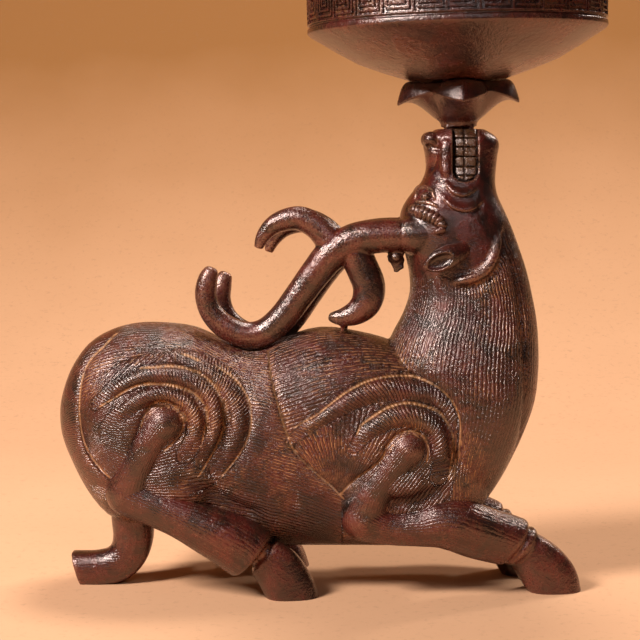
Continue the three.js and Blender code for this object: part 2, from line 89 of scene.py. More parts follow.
# Spiral rolls on haunch and shoulder, as seen from the side: x, z, radius
ROLL_SWELL = 1.22
SPIRAL_ENDS = (-0.8, 0.3, 0.8)
HAUNCH_ROLLS = [
    [
        (-80, 60.5, 1.8), (-74.4, 66.3, 2.6), (-68.5, 71, 3.4), (-62, 73.4, 3.6), (-55.5, 73, 3.6),
        (-50.3, 69.8, 3.4), (-47.8, 64.5, 3.3), (-48.2, 58.5, 3.2), (-51.5, 52.5, 3),
    ],
    [
        (-83, 69, 1.8), (-76.4, 74.3, 2.6), (-69, 78.3, 3.2), (-61, 80.2, 3.4), (-53, 79.4, 3.4),
        (-46.5, 76, 3.3), (-42.3, 70.6, 3.2), (-40.6, 64, 3.2), (-41.8, 57, 3), (-45.5, 50, 2.8),
    ],
    [
        (-55, 86.6, 1.8), (-47.5, 83.6, 2.6), (-40.8, 79.4, 3.6), (-36.2, 74.5, 4),
        (-33.9, 68, 4.2), (-33.9, 61, 4.2), (-36.6, 53.5, 4), (-41, 47, 3.4),
    ],
]
SHOULDER_ROLLS = [
    [
        (-15, 57, 1.8), (-9, 62, 2.4), (-3, 66.3, 3.2), (3, 70, 3.8), (9.5, 73, 4.2), (17, 75, 4.4),
        (25, 75, 4.4), (32, 72.8, 4.2), (37, 68.8, 3.8), (40.2, 63, 3),
    ],
    [
        (6, 53.5, 1.8), (9.5, 58.5, 2.6), (13, 61.7, 3.6), (18, 65, 4.2), (24, 66.2, 4.4),
        (30, 65, 4.4), (34.6, 61.6, 4.2), (37, 56.5, 4), (37.6, 50.5, 3.6), (36, 44, 3),
    ],
]

# Limb paths: x, y, z, radius
THIGH = [
    (-58.8, 29, 63, 6.6), (-63.5, 29.4, 56.5, 5.8), (-68, 27.6, 48, 6.6), (-71.5, 23.5, 38.5, 8.8),
]
HIND_SHANK = [
    (-71.5, 23.5, 38, 8.8), (-62, 25.8, 33.8, 7.9), (-53, 26.8, 29.8, 7.9), (-45, 26.4, 25.6, 8.7),
    (-38, 24.8, 21.9, 9.7), (-33, 23, 18.8, 10.4), (-29.8, 21.9, 16.4, 10.2),
    (-28.4, 21.5, 15.1, 8.6),
]
UPPER_ARM = [
    (25.2, 26.2, 53.5, 6.9), (19.5, 25.8, 46.5, 6.2), (13.5, 24.2, 38, 6.8), (10.5, 22.4, 30, 8.2),
]
UPPER_ARM_SIDE = [(x, z) for x, y, z, radius in UPPER_ARM]
FORE_SHANK = [
    (10.5, 22.4, 28.5, 8.3), (20, 22.6, 25.6, 6.7), (30, 22.6, 25.9, 7.5), (37, 22, 26.8, 9.2),
    (43, 20.4, 26, 9.9), (49.5, 17.8, 23, 9.8), (55.5, 15, 20.6, 9.5), (61, 12.8, 18.8, 9.3),
    (65, 11.8, 16.8, 9.1), (67, 11.4, 15.1, 7.8),
]
# Hoof sections: z, heel x, toe x, half width. The first lies under the sole, where the hoof is cut flat
HIND_HOOF = [
    (-3, -22.9, -4.4, 8.1), (0, -24.4, -5.4, 8), (5, -27, -7, 7.8), (9, -29.2, -9, 7.6),
    (12.5, -30, -11.2, 7.3), (15.5, -29.4, -13.6, 6.9), (18, -28.2, -16.9, 6.2),
    (19.8, -26.6, -20.2, 4.6),
]
FORE_HOOF = [
    (-3, 70.8, 89, 8.1), (0, 69, 88.4, 8), (5, 65.8, 87.4, 7.9), (10, 63.2, 85, 7.7),
    (15, 63, 80.6, 7.2), (18.6, 65, 75.8, 6.1), (21, 67.5, 71.4, 4),
]
LEGS = {
    "fore": {"upper": UPPER_ARM, "shank": FORE_SHANK, "hoof": FORE_HOOF, "heel": 69, "turn": 8,
             "left": {"back": 6.5, "out": 5},
             "coronet": [(71, 26), (69.2, 22), (66.1, 17.3), (61.8, 11.3), (58, 6)]},
    "hind": {"upper": THIGH, "shank": HIND_SHANK, "hoof": HIND_HOOF, "heel": -24.4, "turn": 12,
             "left": {"back": 4, "out": 6.5},
             "coronet": [(-18, 25), (-21.4, 21.4), (-25.6, 15.8), (-30, 10.6), (-34, 6)]},
}
HOOF_POWER = 2.6
# Swellings beside the edge of the hoof: height, place and width; and the groove along it: depth, width
CORONET = {"hoof": (0.12, 2.2, 1.4), "shank": (0.15, -3, 1.8), "groove": (1.1, 1.1)}
LEG_HAIR = {"girth": 9, "depth": 0.8}
TAIL = [
    (-73, 0, 34, 8), (-73.4, 0, 25, 7.8), (-73.2, 0, 17.3, 7.4), (-75, 0, 11, 7),
    (-79.5, 0, 6.6, 6.8), (-86, 0, 5.1, 6.6), (-92, 0, 5, 6.5), (-99, 0, 5, 6.5),
]
TAIL_END = {"point": (-95, 0, 8.5), "normal": (-0.96, 0, -0.28)}
TAIL_LINE = [(-67.5, 26), (-67, 17), (-69.5, 10.5), (-76, 8.4), (-94, 8)]
TAIL_HAIR = {"girth": 8, "depth": 0.25}

# Antlers: x, y, z, radius
BEAM = [
    (32, 9, 127.2, 5), (26, 10, 127.1, 5.6), (16, 9.5, 126.8, 6.1), (7, 9, 125.4, 6),
    (-0.8, 8.5, 120.6, 6), (-6.9, 8, 113.4, 5.5), (-12.8, 7.5, 105.3, 5.2), (-18.6, 7, 97.6, 5.1),
    (-24.8, 6.5, 92.4, 5), (-31.4, 6.2, 91.3, 4.8), (-38.6, 6, 94, 4.5), (-43.8, 6, 99.2, 4.1),
    (-45.9, 6, 105.4, 3.9), (-45.2, 6, 110.8, 3.6), (-43.9, 6, 114.2, 2.7), (-43.4, 6, 115.4, 1.7),
]
UPPER_TINE = [
    (1, 8.5, 121, 5.6), (-3.4, 8, 127.2, 5), (-7.5, 7.6, 130.8, 4.6), (-12.5, 7.1, 132.9, 4.4),
    (-18, 6.6, 132.2, 3.9), (-22.3, 6.2, 130, 3.3), (-25.6, 6, 126.1, 2.5), (-27.1, 6, 122.2, 1.6),
]
LOWER_TINE = [
    (6, 8.5, 122.5, 5.4), (9.8, 8.5, 114.5, 5.5), (12, 8.5, 108.6, 5.6), (11.2, 8.5, 103.2, 5.5),
    (7.6, 8.5, 99.6, 4.5), (3, 8.5, 98, 3.3), (-0.6, 8.5, 97.9, 2.1), (-2.2, 8.5, 98.1, 1.1),
]
# Ragged stub under the root, as small lumps: x, y, z, radius
ROOT_STUB = [
    (20.4, 9.4, 121.6, 1.9), (23, 9.8, 121, 1.8), (21.6, 11, 119.4, 1.8), (19.9, 9.6, 118.6, 1.3),
    (23.4, 9, 118.2, 1.5), (21.4, 9.6, 117, 1.5), (23.5, 10, 116, 1.1), (21.8, 9.8, 115, 1.2),
]
STRUT = [(2.9, 8.4, 96.4, 1.3), (2.8, 8.4, 94.8, 0.7), (2.7, 8.4, 92.6, 0.9)]
FAR_BEND = {"root": 27.5, "x": 0.06, "z": 0.035}
# Rise of the brow bone where an antler leaves the head
ANTLER_ROOT = [
    (35, 8, 127, 8.4), (30, 9.3, 127.1, 7.6), (25.5, 9.9, 127.1, 6.5), (22, 9.8, 127, 5.2),
]

# Ear: path, and the rim of its cup as seen from the side
EAR = [
    (49.5, 14.5, 123.6, 2.4), (45, 18.2, 122.2, 3.1), (40, 21.4, 120.4, 4.1),
    (35, 22.2, 118.2, 3.8), (31, 21.8, 116.4, 1.2),
]
EAR_THINNESS = 0.62
EAR_CUP = {"centre": (36.4, 118.6), "radii": (4.8, 2.7), "tilt": 25, "depth": 2.4}

# Face, as seen from the side: x, z, and a radius where the form is a roll
BROW = [
    (25.2, 136.8, 1.4), (27.2, 136.2, 2.2), (29.6, 135.4, 2.6), (32.4, 134.4, 2.7),
    (35, 133.1, 2.6), (37, 131.4, 2.2), (37.2, 129.5, 1.7), (35.4, 128.7, 1.1), (33.6, 129.2, 0.6),
]
BROW_RIB = {"height": 0.24, "pitch": 1.75, "groove": 0.35}
UPPER_LID = [
    (27.4, 138.8, 0.6), (28.5, 141, 0.8), (29.6, 143.2, 0.9), (31.6, 144.1, 0.9), (33.7, 143, 0.85),
    (34.6, 140.8, 0.75), (35.6, 138.9, 0.5),
]
LOWER_LID = [
    (27, 139.3, 0.6), (29.4, 138.9, 0.8), (32.4, 138.7, 0.9), (35.2, 137.6, 0.8),
    (37.6, 135.6, 0.5),
]
EYE = {"place": (31.4, 141.1), "radius": 2, "rise": 0.1, "sunk": 0.5, "flat": 0.9}
EYE_SOCKET = {"place": (31.4, 141), "radii": (3.6, 2.8), "depth": 1.1, "width": 0.9}
LIP_RIDGE = [
    (38.7, 162.6, 2.7), (38.7, 158.8, 2.8), (38.6, 155, 2.4), (38.7, 151.6, 2), (39.1, 148.6, 1.6),
    (39.6, 146, 1),
]
MOUTH_ROLLS = [
    [
        (38, 148, 0.9), (38.9, 144.9, 1.5), (41.2, 142.3, 1.8), (44.8, 141.3, 1.9),
        (47.9, 142.7, 1.6), (50, 145.6, 0.9),
    ],
    [
        (36.6, 143, 0.9), (38.1, 139.6, 1.5), (41.2, 137, 1.9), (45.3, 136, 2), (48.9, 137.2, 1.7),
        (51.7, 140.6, 0.9),
    ],
]
MOUTH_CREASES = [
    [
        (37.9, 146), (38.7, 144), (40.3, 141.5), (43, 140.2), (45.7, 140.2), (48.3, 141.5),
        (50.2, 144),
    ],
    [
        (36.8, 141.4), (37.7, 139.4), (40, 136.4), (43, 135.1), (46.4, 134.9), (49.8, 136.2),
        (52.4, 139.4),
    ],
]
JOWL = [
    (39.6, 111.6, 1.2), (43.2, 111.4, 1.8), (47, 112.2, 2.2), (51.6, 114.3, 2.4),
    (54.6, 117.6, 2.4), (56.5, 122.1, 2.2), (57.4, 126.5, 1.8), (57.3, 131, 1.2),
]
JOWL_EDGE = [
    (40, 109.6), (44, 109), (48.4, 109.7), (53.4, 112), (57, 116), (59.2, 121.6), (60, 126.5),
    (59.6, 132),
]
NOSE_BALL = {"place": (33.9, 6, 160.6), "radii": (3, 3.6, 3)}
NOSTRIL = [(32.6, 158.2), (34, 157.5), (35.4, 157.2)]
NOSTRIL_CUT = {"depth": 1.3, "width": 0.7}
NOSE_CREASE = [(36.1, 163), (35.8, 158.5), (35.2, 153.9), (34.3, 150.4), (33.2, 147.7)]
# The mouth's open side. Past the depth under gap, its recess gets painted shade
MOUTH = {"left": 41.4, "right": 50.2, "turn": 149.8, "round": 3.9, "deep": 2.9, "shallow": 1.4,
         "edge": 0.35, "gap": 0.9}
TEETH_ROWS = [148.2, 151.2, 154.7, 158, 161.2]
TEETH_SPLIT = 45.4
TOOTH_EDGE = (0.02, 0.38)
TOOTH_MARGIN = (0.4, 1)

# Carved lines on the flanks, as seen from the side: x, z
HAUNCH_KNOB = [
    (-71.5, 50.5), (-69.4, 55), (-67.4, 60.6), (-65.6, 66.2), (-62.5, 69.6), (-57.6, 70.2),
    (-53.4, 67.2), (-51.8, 62.7), (-54, 58.2), (-58.4, 54.2),
]
SHOULDER_KNOB = [
    (2.2, 38.3), (7, 43.1), (12.5, 47.1), (16.4, 51.1), (18, 55.1), (21.1, 58.9), (25.8, 60.7),
    (30.8, 58.6), (32.6, 54.3), (31.8, 50.3),
]
CREASES = [
    [
        (-80.8, 68.9), (-71.6, 74.7), (-63.9, 77.1), (-55.5, 76.7), (-48.5, 73.8), (-44.7, 69),
        (-44, 63), (-46, 55.5),
    ],
    [
        (-66.7, 82.2), (-57.6, 83.6), (-48.6, 81.8), (-41.6, 76.5), (-38.2, 69.5), (-37.8, 61),
        (-41.8, 52.5), (-46.7, 45.3),
    ],
    [
        (-52.8, 86.6), (-48.6, 85.6), (-40.2, 82), (-34.2, 77.8), (-30.2, 72.2), (-28.8, 66.5),
        (-29.5, 59.4), (-32.8, 52.3), (-39.1, 44.4),
    ],
    [
        (-13.7, 61.6), (-6.5, 66.4), (-1, 70.8), (4.6, 74.8), (11.7, 78), (19.6, 79.3),
        (27.5, 78.8), (34.6, 76), (39.8, 71.4), (42.8, 65.7), (43.6, 59.2), (43, 51.2),
        (41.2, 43.1),
    ],
    [
        (7.7, 59.5), (9.3, 63), (13.3, 66.3), (18, 69.1), (24.3, 70.5), (30.6, 69.5), (35.4, 67.1),
        (38.6, 63.6), (41, 58), (41.4, 51.6), (39.6, 43.5),
    ],
]
MANTLE = [
    (-23.5, 86), (-22.4, 79.2), (-20, 70.4), (-16.8, 60), (-13.7, 52.8), (-6.5, 45.5), (-1, 40.7),
    (3, 36.6),
]
TAIL_BAND = [
    (-77, 92.4), (-84.9, 85.9), (-88.5, 79.5), (-89.7, 70.8), (-89.5, 62.2), (-87.8, 55),
    (-83.9, 48.5), (-78.3, 44.1),
]
FORE_CREVICE = [(12, 36.5), (19, 35), (28, 35.6), (35, 38.4), (43, 40)]
HIND_CREVICE = [(-58, 45), (-48.5, 42.4), (-39, 36.4), (-30, 31.6), (-22, 30)]
THROAT_STRIP = [
    (59.3, 130), (61.2, 123), (63.5, 113.9), (65.2, 104), (67, 86), (67.5, 68), (66, 53.5),
    (62, 42.5),
]
NECK_EDGE = [
    (14, 99), (18.3, 91), (21.5, 85.3), (25.3, 80.2), (30, 78.6), (35, 76.2), (39.8, 71.8),
    (42.5, 65.7), (43.1, 59.2), (42.8, 51.2), (40, 35),
]

# How carved lines are cut: depth, width, and the run over which they fade at their ends
CUTS = {
    "crease": (1.2, 1.5, 7), "haunch_knob": (2.2, 1.5, 7), "shoulder_knob": (2, 1.4, 7),
    "mantle": (0.9, 0.8, 7), "tail_band": (1.3, 1.2, 7), "nose": (0.9, 0.9, 4),
    "mouth": (1.2, 0.8, 3), "throat": (1.7, 1.1, 8), "jowl": (1.4, 1.1, 5),
}
CREVICE = {"depth": 1.8, "width": 2.6, "fade": 8}
# How far from its line a seam still shows in the finish
SEAM_REACH = 2
# How much hollow or edge counts as a full one
FULL_HOLLOW = 0.22
FULL_EDGE = 0.2

# Bowl unit, in its own frame that stands on the muzzle
STEM_TOP = (44.2, 0, 164.7)
STEM_TILT = -1.55
# Petalled stem: radius at the tips, height between them, share cut back between them, rise of the tips
CALYX = [
    (6.4, 0.5, 0, 0), (6.7, 2.2, 0, 0), (9.3, 4.4, 0.04, -0.1), (12.7, 7.4, 0.12, -0.2),
    (15.8, 9.9, 0.2, -0.8), (18.8, 11.8, 0.28, -2.3), (21.2, 12.8, 0.34, -4.3),
    (21.8, 13.3, 0.36, -4.3), (21.1, 14, 0.36, -2), (19.9, 14.8, 0.34, 0.3), (18.2, 15.4, 0.3, 1.4),
    (16, 15.9, 0.2, 1), (12, 16, 0, 0),
]
TANG = {"half": 4.9, "low": -20, "high": 1}
BOWL_RADIUS = 53
RIM = 50.5
BOWL_WALL = 3.2
FRET = {
    "units": 30, "start": -85.7, "base": 37.4, "half": 0.3, "floor": 52.1, "top": 52.95, "sunk": 0.15,
}
FRET_DIVIDER = ((0, 0.4), (0, 11))
FRET_SPIRAL = [
    (1.6, 1.5), (9.5, 1.5), (9.5, 10), (1.6, 10), (1.6, 3.2), (7.9, 3.2), (7.9, 8.4), (3.3, 8.4),
    (3.3, 4.9), (6.2, 4.9), (6.2, 6.7), (4.8, 6.7),
]
LID_BASE = 50.8
LID_HEIGHT = 67
LID_WALL = 3
LID_EDGE = 1.6
SPIGOT = {"gap": 0.5, "depth": 6, "bevel": 1}
HILL = {
    "foot": 46, "top": 1.5, "height": LID_HEIGHT - 6, "bulge": 1.3, "slope": 0.75, "crown": 61, "vault": 53,
}
# Heights over the lid's base of the sections of the hill, outside going up and inside going down
HILL_OUTSIDE = (2.5, 8, 16, 24, 32, 40, 48, 54, 58, 60)
HILL_INSIDE = (50, 44, 36, 28, 20, 12, 5)
SUMMIT = [(0, 48), (7.5, 48), (6.2, 54), (3.4, 61), (0, LID_HEIGHT)]
# Sections of a peak: share of its height, share of its width, how far it stands off the hill, depth
PEAK = [(0, 1, 3.6, 3), (0.4, 0.92, 4.8, 3), (0.72, 0.55, 5.2, 2.6), (1, 0.06, 4.4, 0.6)]
PEAK_POWER = 1.5
TIERS = [
    {"count": 12, "base": 1, "height": 25, "width": 20, "turn": 0},
    {"count": 9, "base": 15, "height": 27, "width": 20, "turn": 0.5},
    {"count": 6, "base": 31, "height": 25, "width": 19, "turn": 0},
]
HOLE = {"radius": 2.6, "rise": 19, "stretch": 1.3, "length": 24}
# Rock lines: how far they lie apart, how steeply they climb to a spine, and their depth off the peaks
STRATA = {"pitch": 2.4, "climb": 1.5, "plain": 0.3}
# Outline of a peak for its rock lines: least stand off the hill, half width, share at the foot, taper
PEAK_OUTLINE = {"stand": 0.8, "half": 0.55, "foot": 1.02, "taper": 0.9}

# How far the hair lines lie apart, on the flanks and on neck and shoulder
PITCH = 1.15
WIDE_PITCH = 1.32
# Lines along the trunk, and how they climb over the rump and behind the neck
GIRTH = {"height": 54, "radius": 32}
RUMP_CLIMB = {"x": -50, "bend": 15, "slope": 0.17}
MANTLE_CLIMB = {"height": 92, "slope": 0.12, "gain": 0.006}
# Patches of hair that spreads like a fan, as seen from the side
HIP = {"centre": (-59, 62), "radii": (30, 25), "rear": -89, "front": -30}
REAR_FAN = {"centre": (-94, 60), "radius": 26}
FRONT_FAN = {"centre": (-112, 38), "radius": 60}
ARMPIT = {"centre": (16, 52), "radii": (30, 25)}
ARMPIT_FAN = {"centre": (2, 34), "radius": 22}
ROLL_REACH = 1.05
ROLL_SLANT = 0.5
NECK_HAIR = {"low": 98, "radius": 25}
# Where the hair ends on the head, and the smoother band beside the tail
JOWL_FOOT = [
    (20, 113.5), (40, 109.6), (48.4, 109.7), (53.4, 112), (57, 116), (59.2, 121.6), (60.5, 170),
]
BAND_HAIR = {"low": 40, "front": -70, "depth": 0.35}

# Voxel sizes at which the forms of a piece are melted into one skin
VOXEL = {"body": 0.68, "leg": 0.6, "antler": 0.58, "ear": 0.42, "tail": 0.5, "stem": 0.48, "lid": 0.78}
# Points nearer than this are one
SAME_POINT = 0.01


# Mesh helpers

def pick_only(*objects):
    bpy.ops.object.select_all(action="DESELECT")
    for obj in objects:
        obj.select_set(True)
    bpy.context.view_layer.objects.active = objects[0]


def add(primitive, **settings):
    """A new primitive form, with nothing else selected."""
    bpy.ops.object.select_all(action="DESELECT")
    primitive(**settings)
    return bpy.context.object


def copy_of(obj):
    """A copy of a piece with a mesh of its own."""
    copy = obj.copy()
    copy.data = obj.data.copy()
    bpy.context.collection.objects.link(copy)
    return copy


def edit_all(obj):
    """Opens a piece for editing with everything in it selected."""
    pick_only(obj)
    bpy.ops.object.mode_set(mode="EDIT")
    bpy.ops.mesh.select_all(action="SELECT")


def close_edit(face_outwards=False):
    """Ends the editing, with every face turned outwards where asked."""
    if face_outwards:
        bpy.ops.mesh.select_all(action="SELECT")
        bpy.ops.mesh.normals_make_consistent(inside=False)
    bpy.ops.object.mode_set(mode="OBJECT")


def modify(obj, kind, **settings):
    """Adds a modifier with its settings and applies it."""
    pick_only(obj)
    modifier = obj.modifiers.new(kind.lower(), kind)
    for key, value in settings.items():
        setattr(modifier, key, value)
    bpy.ops.object.modifier_apply(modifier=modifier.name)


def join(name, objects):
    pick_only(*objects)
    if len(objects) > 1:
        bpy.ops.object.join()
    obj = bpy.context.view_layer.objects.active
    obj.name = name
    obj.data.name = name
    return obj


def fuse(name, objects, voxel, smooth=0):
    """Melts overlapping forms into one skin, as wax is pressed together before casting."""
    obj = join(name, objects)
    modify(obj, "REMESH", mode="VOXEL", voxel_size=voxel * MM, use_smooth_shade=True)
    if smooth:
        modify(obj, "SMOOTH", factor=0.5, iterations=smooth)
    return obj


def smooth_rows(rows, steps):
    """Rows along a smooth curve through the given rows."""
    rows = np.array(rows, float)
    last = len(rows) - 1
    result = []
    for i in range(last):
        before, here, after, beyond = rows[max(i - 1, 0)], rows[i], rows[i + 1], rows[min(i + 2, last)]
        for step in range(steps):
            t = step / steps
            bend = 2 * before - 5 * here + 4 * after - beyond
            twist = 3 * here - before - 3 * after + beyond
            result.append(0.5 * (2 * here + (after - before) * t + bend * t * t + twist * t ** 3))
    result.append(rows[last])
    return np.array(result)


def squared(value, power):
    """A cosine or a sine, squared off as in a superellipse of that power."""
    return np.sign(value) * np.abs(value) ** (2 / power)


def ring(centre, across, up, half_across, half_up, power, sides):
    """A superellipse round a centre, in the plane of two directions."""
    angle = 2 * math.pi * (np.arange(sides) + 0.5) / sides
    wide = np.outer(half_across * squared(np.cos(angle), power), across)
    high = np.outer(half_up * squared(np.sin(angle), power), up)
    return np.array(centre) + wide + high


def lay_ring(obj, old, new):
    """Moves the selected ring of points, which lies where old says, to where new says."""
    mesh = bmesh.from_edit_mesh(obj.data)
    for vert in mesh.verts:
        if vert.select:
            place = np.array(vert.co) / MM
            vert.co = new[np.argmin(((old - place) ** 2).sum(axis=1))] * MM
    bmesh.update_edit_mesh(obj.data)


def loft(name, rings):
    """A closed skin: a disc is added, extruded once for every ring and laid on it."""
    obj = add(bpy.ops.mesh.primitive_circle_add, vertices=len(rings[0]), radius=MM, fill_type="NGON")
    obj.name = name
    edit_all(obj)
    mesh = bmesh.from_edit_mesh(obj.data)
    mesh.verts.ensure_lookup_table()
    start = np.array([vert.co[:] for vert in mesh.verts]) / MM
    lay_ring(obj, start, np.array(rings[0]))
    for old, new in zip(rings, rings[1:]):
        bpy.ops.mesh.extrude_region_move()
        lay_ring(obj, np.array(old), np.array(new))
    close_edit(face_outwards=True)
    return obj


def along_x(name, rows, steps=3, sides=56):
    """A skin over sections that follow each other along X."""
    rings = []
    for x, top, bottom, half in smooth_rows(rows, steps):
        centre = (x, 0, (top + bottom) / 2)
        rings.append(ring(centre, Y_AXIS, Z_AXIS, half, (top - bottom) / 2, TRUNK_POWER, sides))
    return loft(name, rings)


def along_z(name, rows, steps=3, sides=48, power=NECK_POWER):
    """A skin over sections that follow each other upwards."""
    rings = []
    for z, back, front, half in smooth_rows(rows, steps):
        centre = ((back + front) / 2, 0, z)
        rings.append(ring(centre, X_AXIS, Y_AXIS, (front - back) / 2, half, power, sides))
    return loft(name, rings)


def limb(name, path, side, steps=4, sides=20, flat=1, power=2, rib=None):
    """A tapered limb along a path of x, y, z and radius, with ribs across it where asked."""
    rows = smooth_rows(path, steps)
    centres = rows[:, :3] * (1, side, 1)
    radii = rows[:, 3]
    if rib:
        run = np.concatenate(([0], np.cumsum(np.linalg.norm(np.diff(centres, axis=0), axis=1))))
        wave = np.sin(math.pi * run / rib["pitch"])
        radii = radii * (1 - rib["height"] * cusp(wave, rib["groove"]))
    rings = []
    for centre, way, radius in zip(centres, np.gradient(centres, axis=0), radii):
        way = way / np.linalg.norm(way)
        across = Y_AXIS - way * way[1]
        across /= np.linalg.norm(across)
        rings.append(ring(centre, across, np.cross(way, across), radius * flat, radius, power, sides))
    return loft(name, rings)


def ball(name, centre, radii, segments=48):
    rings = segments // 2
    obj = add(bpy.ops.mesh.primitive_uv_sphere_add, segments=segments, ring_count=rings, radius=1)
    obj.name = name
    place = Matrix.Translation(Vector(centre) * MM) @ Matrix.Diagonal((*(Vector(radii) * MM), 1))
    obj.data.transform(place)
    return obj


def block(name, low, high):
    obj = add(bpy.ops.mesh.primitive_cube_add, size=1)
    obj.name = name
    low, high = Vector(low) * MM, Vector(high) * MM
    obj.data.transform(Matrix.Translation((low + high) / 2) @ Matrix.Diagonal((*(high - low), 1)))
    return obj


def turned(name, profile, steps=96):
    """A profile of radius and height spun round the upright axis."""
    mesh = bpy.data.meshes.new(name)
    points = [(radius * MM, 0, height * MM) for radius, height in profile]
    mesh.from_pydata(points, [(i, i + 1) for i in range(len(points) - 1)], [])
    obj = bpy.data.objects.new(name, mesh)
    bpy.context.collection.objects.link(obj)
    edit_all(obj)
    bpy.ops.mesh.spin(steps=steps, angle=2 * math.pi, center=(0, 0, 0), axis=(0, 0, 1))
    bpy.ops.mesh.select_all(action="SELECT")
    bpy.ops.mesh.remove_doubles(threshold=SAME_POINT * MM)
    close_edit(face_outwards=True)
    return obj


def cut(obj, cutter, solver="EXACT"):
    modify(obj, "BOOLEAN", operation="DIFFERENCE", object=cutter, solver=solver)
    bpy.data.objects.remove(cutter)


def slice_off(obj, point, normal):
    """Cuts the piece flat and drops what lies on the normal's side of the plane."""
    edit_all(obj)
    bpy.ops.mesh.bisect(plane_co=Vector(point) * MM, plane_no=normal, use_fill=True, clear_outer=True)
    close_edit()


def soften(obj, angle=50):
    pick_only(obj)
    bpy.ops.object.shade_smooth_by_angle(angle=math.radians(angle))


def read(mesh_items, key, width):
    values = np.empty(len(mesh_items) * width)
    mesh_items.foreach_get(key, values)
    return values.reshape(-1, width)


def points_of(obj):
    return read(obj.data.vertices, "co", 3) / MM


def normals_of(obj):
    return read(obj.data.vertex_normals, "vector", 3)


def set_points(obj, points):
    obj.data.vertices.foreach_set("co", (points * MM).ravel())
    obj.data.update()


def store(obj, name, values):
    layer = obj.data.attributes.get(name) or obj.data.attributes.new(name, "FLOAT", "POINT")
    layer.data.foreach_set("value", np.ascontiguousarray(values, dtype=np.float32))


def step_up(value, low, high):
    t = np.clip((value - low) / (high - low), 0, 1)
    return t * t * (3 - 2 * t)


class Follow:
    """Where flat points lie against a smooth line: distance, run along it, and offset with its side."""

    def __init__(self, flat, line, steps=5):
        path = smooth_rows([place[:2] for place in line], steps)
        self.far = np.full(len(flat), 1e9)
        self.along = np.zeros(len(flat))
        self.offset = np.zeros(len(flat))
        self.length = 0
        for start, end in zip(path, path[1:]):
            way = end - start
            length = np.linalg.norm(way)
            t = np.clip(((flat - start) @ way) / (length * length), 0, 1)
            gap = flat - start - np.outer(t, way)
            far = np.linalg.norm(gap, axis=1)
            near = far < self.far
            self.far[near] = far[near]
            self.along[near] = self.length + t[near] * length
            side = np.sign(way[0] * gap[:, 1] - way[1] * gap[:, 0])
            self.offset[near] = (side * far)[near]
            self.length += length

    def fade(self, run=4):
        """Nought at both ends of the line, one along its middle."""
        return step_up(self.along, 0, run) * step_up(self.length - self.along, 0, run)


def bump(far, width):
    """A round rise or dip about a line."""
    return np.exp(-(far / width) ** 2)


def cusp(far, width):
    """A sharp rise or dip about a line."""
    return np.exp(-np.abs(far) / width)


def hollowness(obj, points, normals, passes=3):
    """How far each point lies in a hollow of the surface."""
    edges = np.empty(len(obj.data.edges) * 2, dtype=np.int32)
    obj.data.edges.foreach_get("vertices", edges)
    edges = edges.reshape(-1, 2)
    count = np.bincount(edges.ravel(), minlength=len(points))[:, None]
    mean = points.copy()
    for _ in range(passes):
        total = np.zeros_like(points)
        np.add.at(total, edges[:, 0], mean[edges[:, 1]])
        np.add.at(total, edges[:, 1], mean[edges[:, 0]])
        mean = total / np.maximum(count, 1)
    return ((mean - points) * normals).sum(axis=1)


def mark_surface(obj, phase=0, depth=0, seam=SEAM_REACH):
    """Stores what the finish needs: hollows, the number and depth of the hair lines, and the way to a seam.
    The way is kept as a cosine and a sine, which stay smooth where the nearest seam changes."""
    points, normals = points_of(obj), normals_of(obj)
    hollow = hollowness(obj, points, normals)
    turn = math.pi * np.clip(seam, -SEAM_REACH, SEAM_REACH) / SEAM_REACH
    fields = {
        "hollow": np.clip(hollow / FULL_HOLLOW, 0, 1), "edge": np.clip(-hollow / FULL_EDGE, 0, 1),
        "hair_phase": phase, "hair_depth": depth, "seam_cos": np.cos(turn), "seam_sin": np.sin(turn),
    }
    for name, values in fields.items():
        store(obj, name, np.broadcast_to(values, len(points)))


# Beast

def between(rows, place):
    """The row of sections at a place along them."""
    rows = np.array(rows, float)
    return [np.interp(place, rows[:, 0], rows[:, i]) for i in range(rows.shape[1])]


def bulge(half, share, power):
    """Half width of a superellipse at a share of its half height."""
    return half * np.maximum(0, 1 - np.abs(share) ** power) ** (1 / power)


def flank(x, z):
    """How far the flank stands out from the middle plane at a place seen from the side."""
    _, top, bottom, half = between(TRUNK, x)
    _, back, front, neck_half = between(NECK, z)
    reach = [
        bulge(half, (2 * z - top - bottom) / (top - bottom), TRUNK_POWER),
        bulge(neck_half, (2 * x - back - front) / (front - back), NECK_POWER),
    ]
    for part in (HAUNCH, SHOULDER):
        (cx, cy, cz), (rx, ry, rz) = part["centre"], part["radii"]
        left = 1 - ((x - cx) / rx) ** 2 - ((z - cz) / rz) ** 2
        if left > 0:
            reach.append(cy + ry * math.sqrt(left))
    return float(max(reach))


def outward(x, z):
    """Direction in which the flank faces at a place."""
    step = 0.8
    slope_x = (flank(x + step, z) - flank(x - step, z)) / (2 * step)
    slope_z = (flank(x, z + step) - flank(x, z - step)) / (2 * step)
    way = np.array((-slope_x, 1, -slope_z))
    return way / np.linalg.norm(way)


def roll(name, places, side, rise, ends=(-1, 0.7), **settings):
    """A roll on the flank or the face. It stands out by a rise, and by shares of it at both ends."""
    last = len(places) - 1
    path = []
    for i, (x, z, radius) in enumerate(places):
        share = (*ends, *[1] * len(places))[min(i, last - i)]
        centre = np.array((x, flank(x, z), z)) + outward(x, z) * (share * rise - radius)
        path.append((*centre, radius))
    return limb(name, path, side, **settings)


def swelled(places):
    return [(x, z, radius * ROLL_SWELL) for x, z, radius in places]


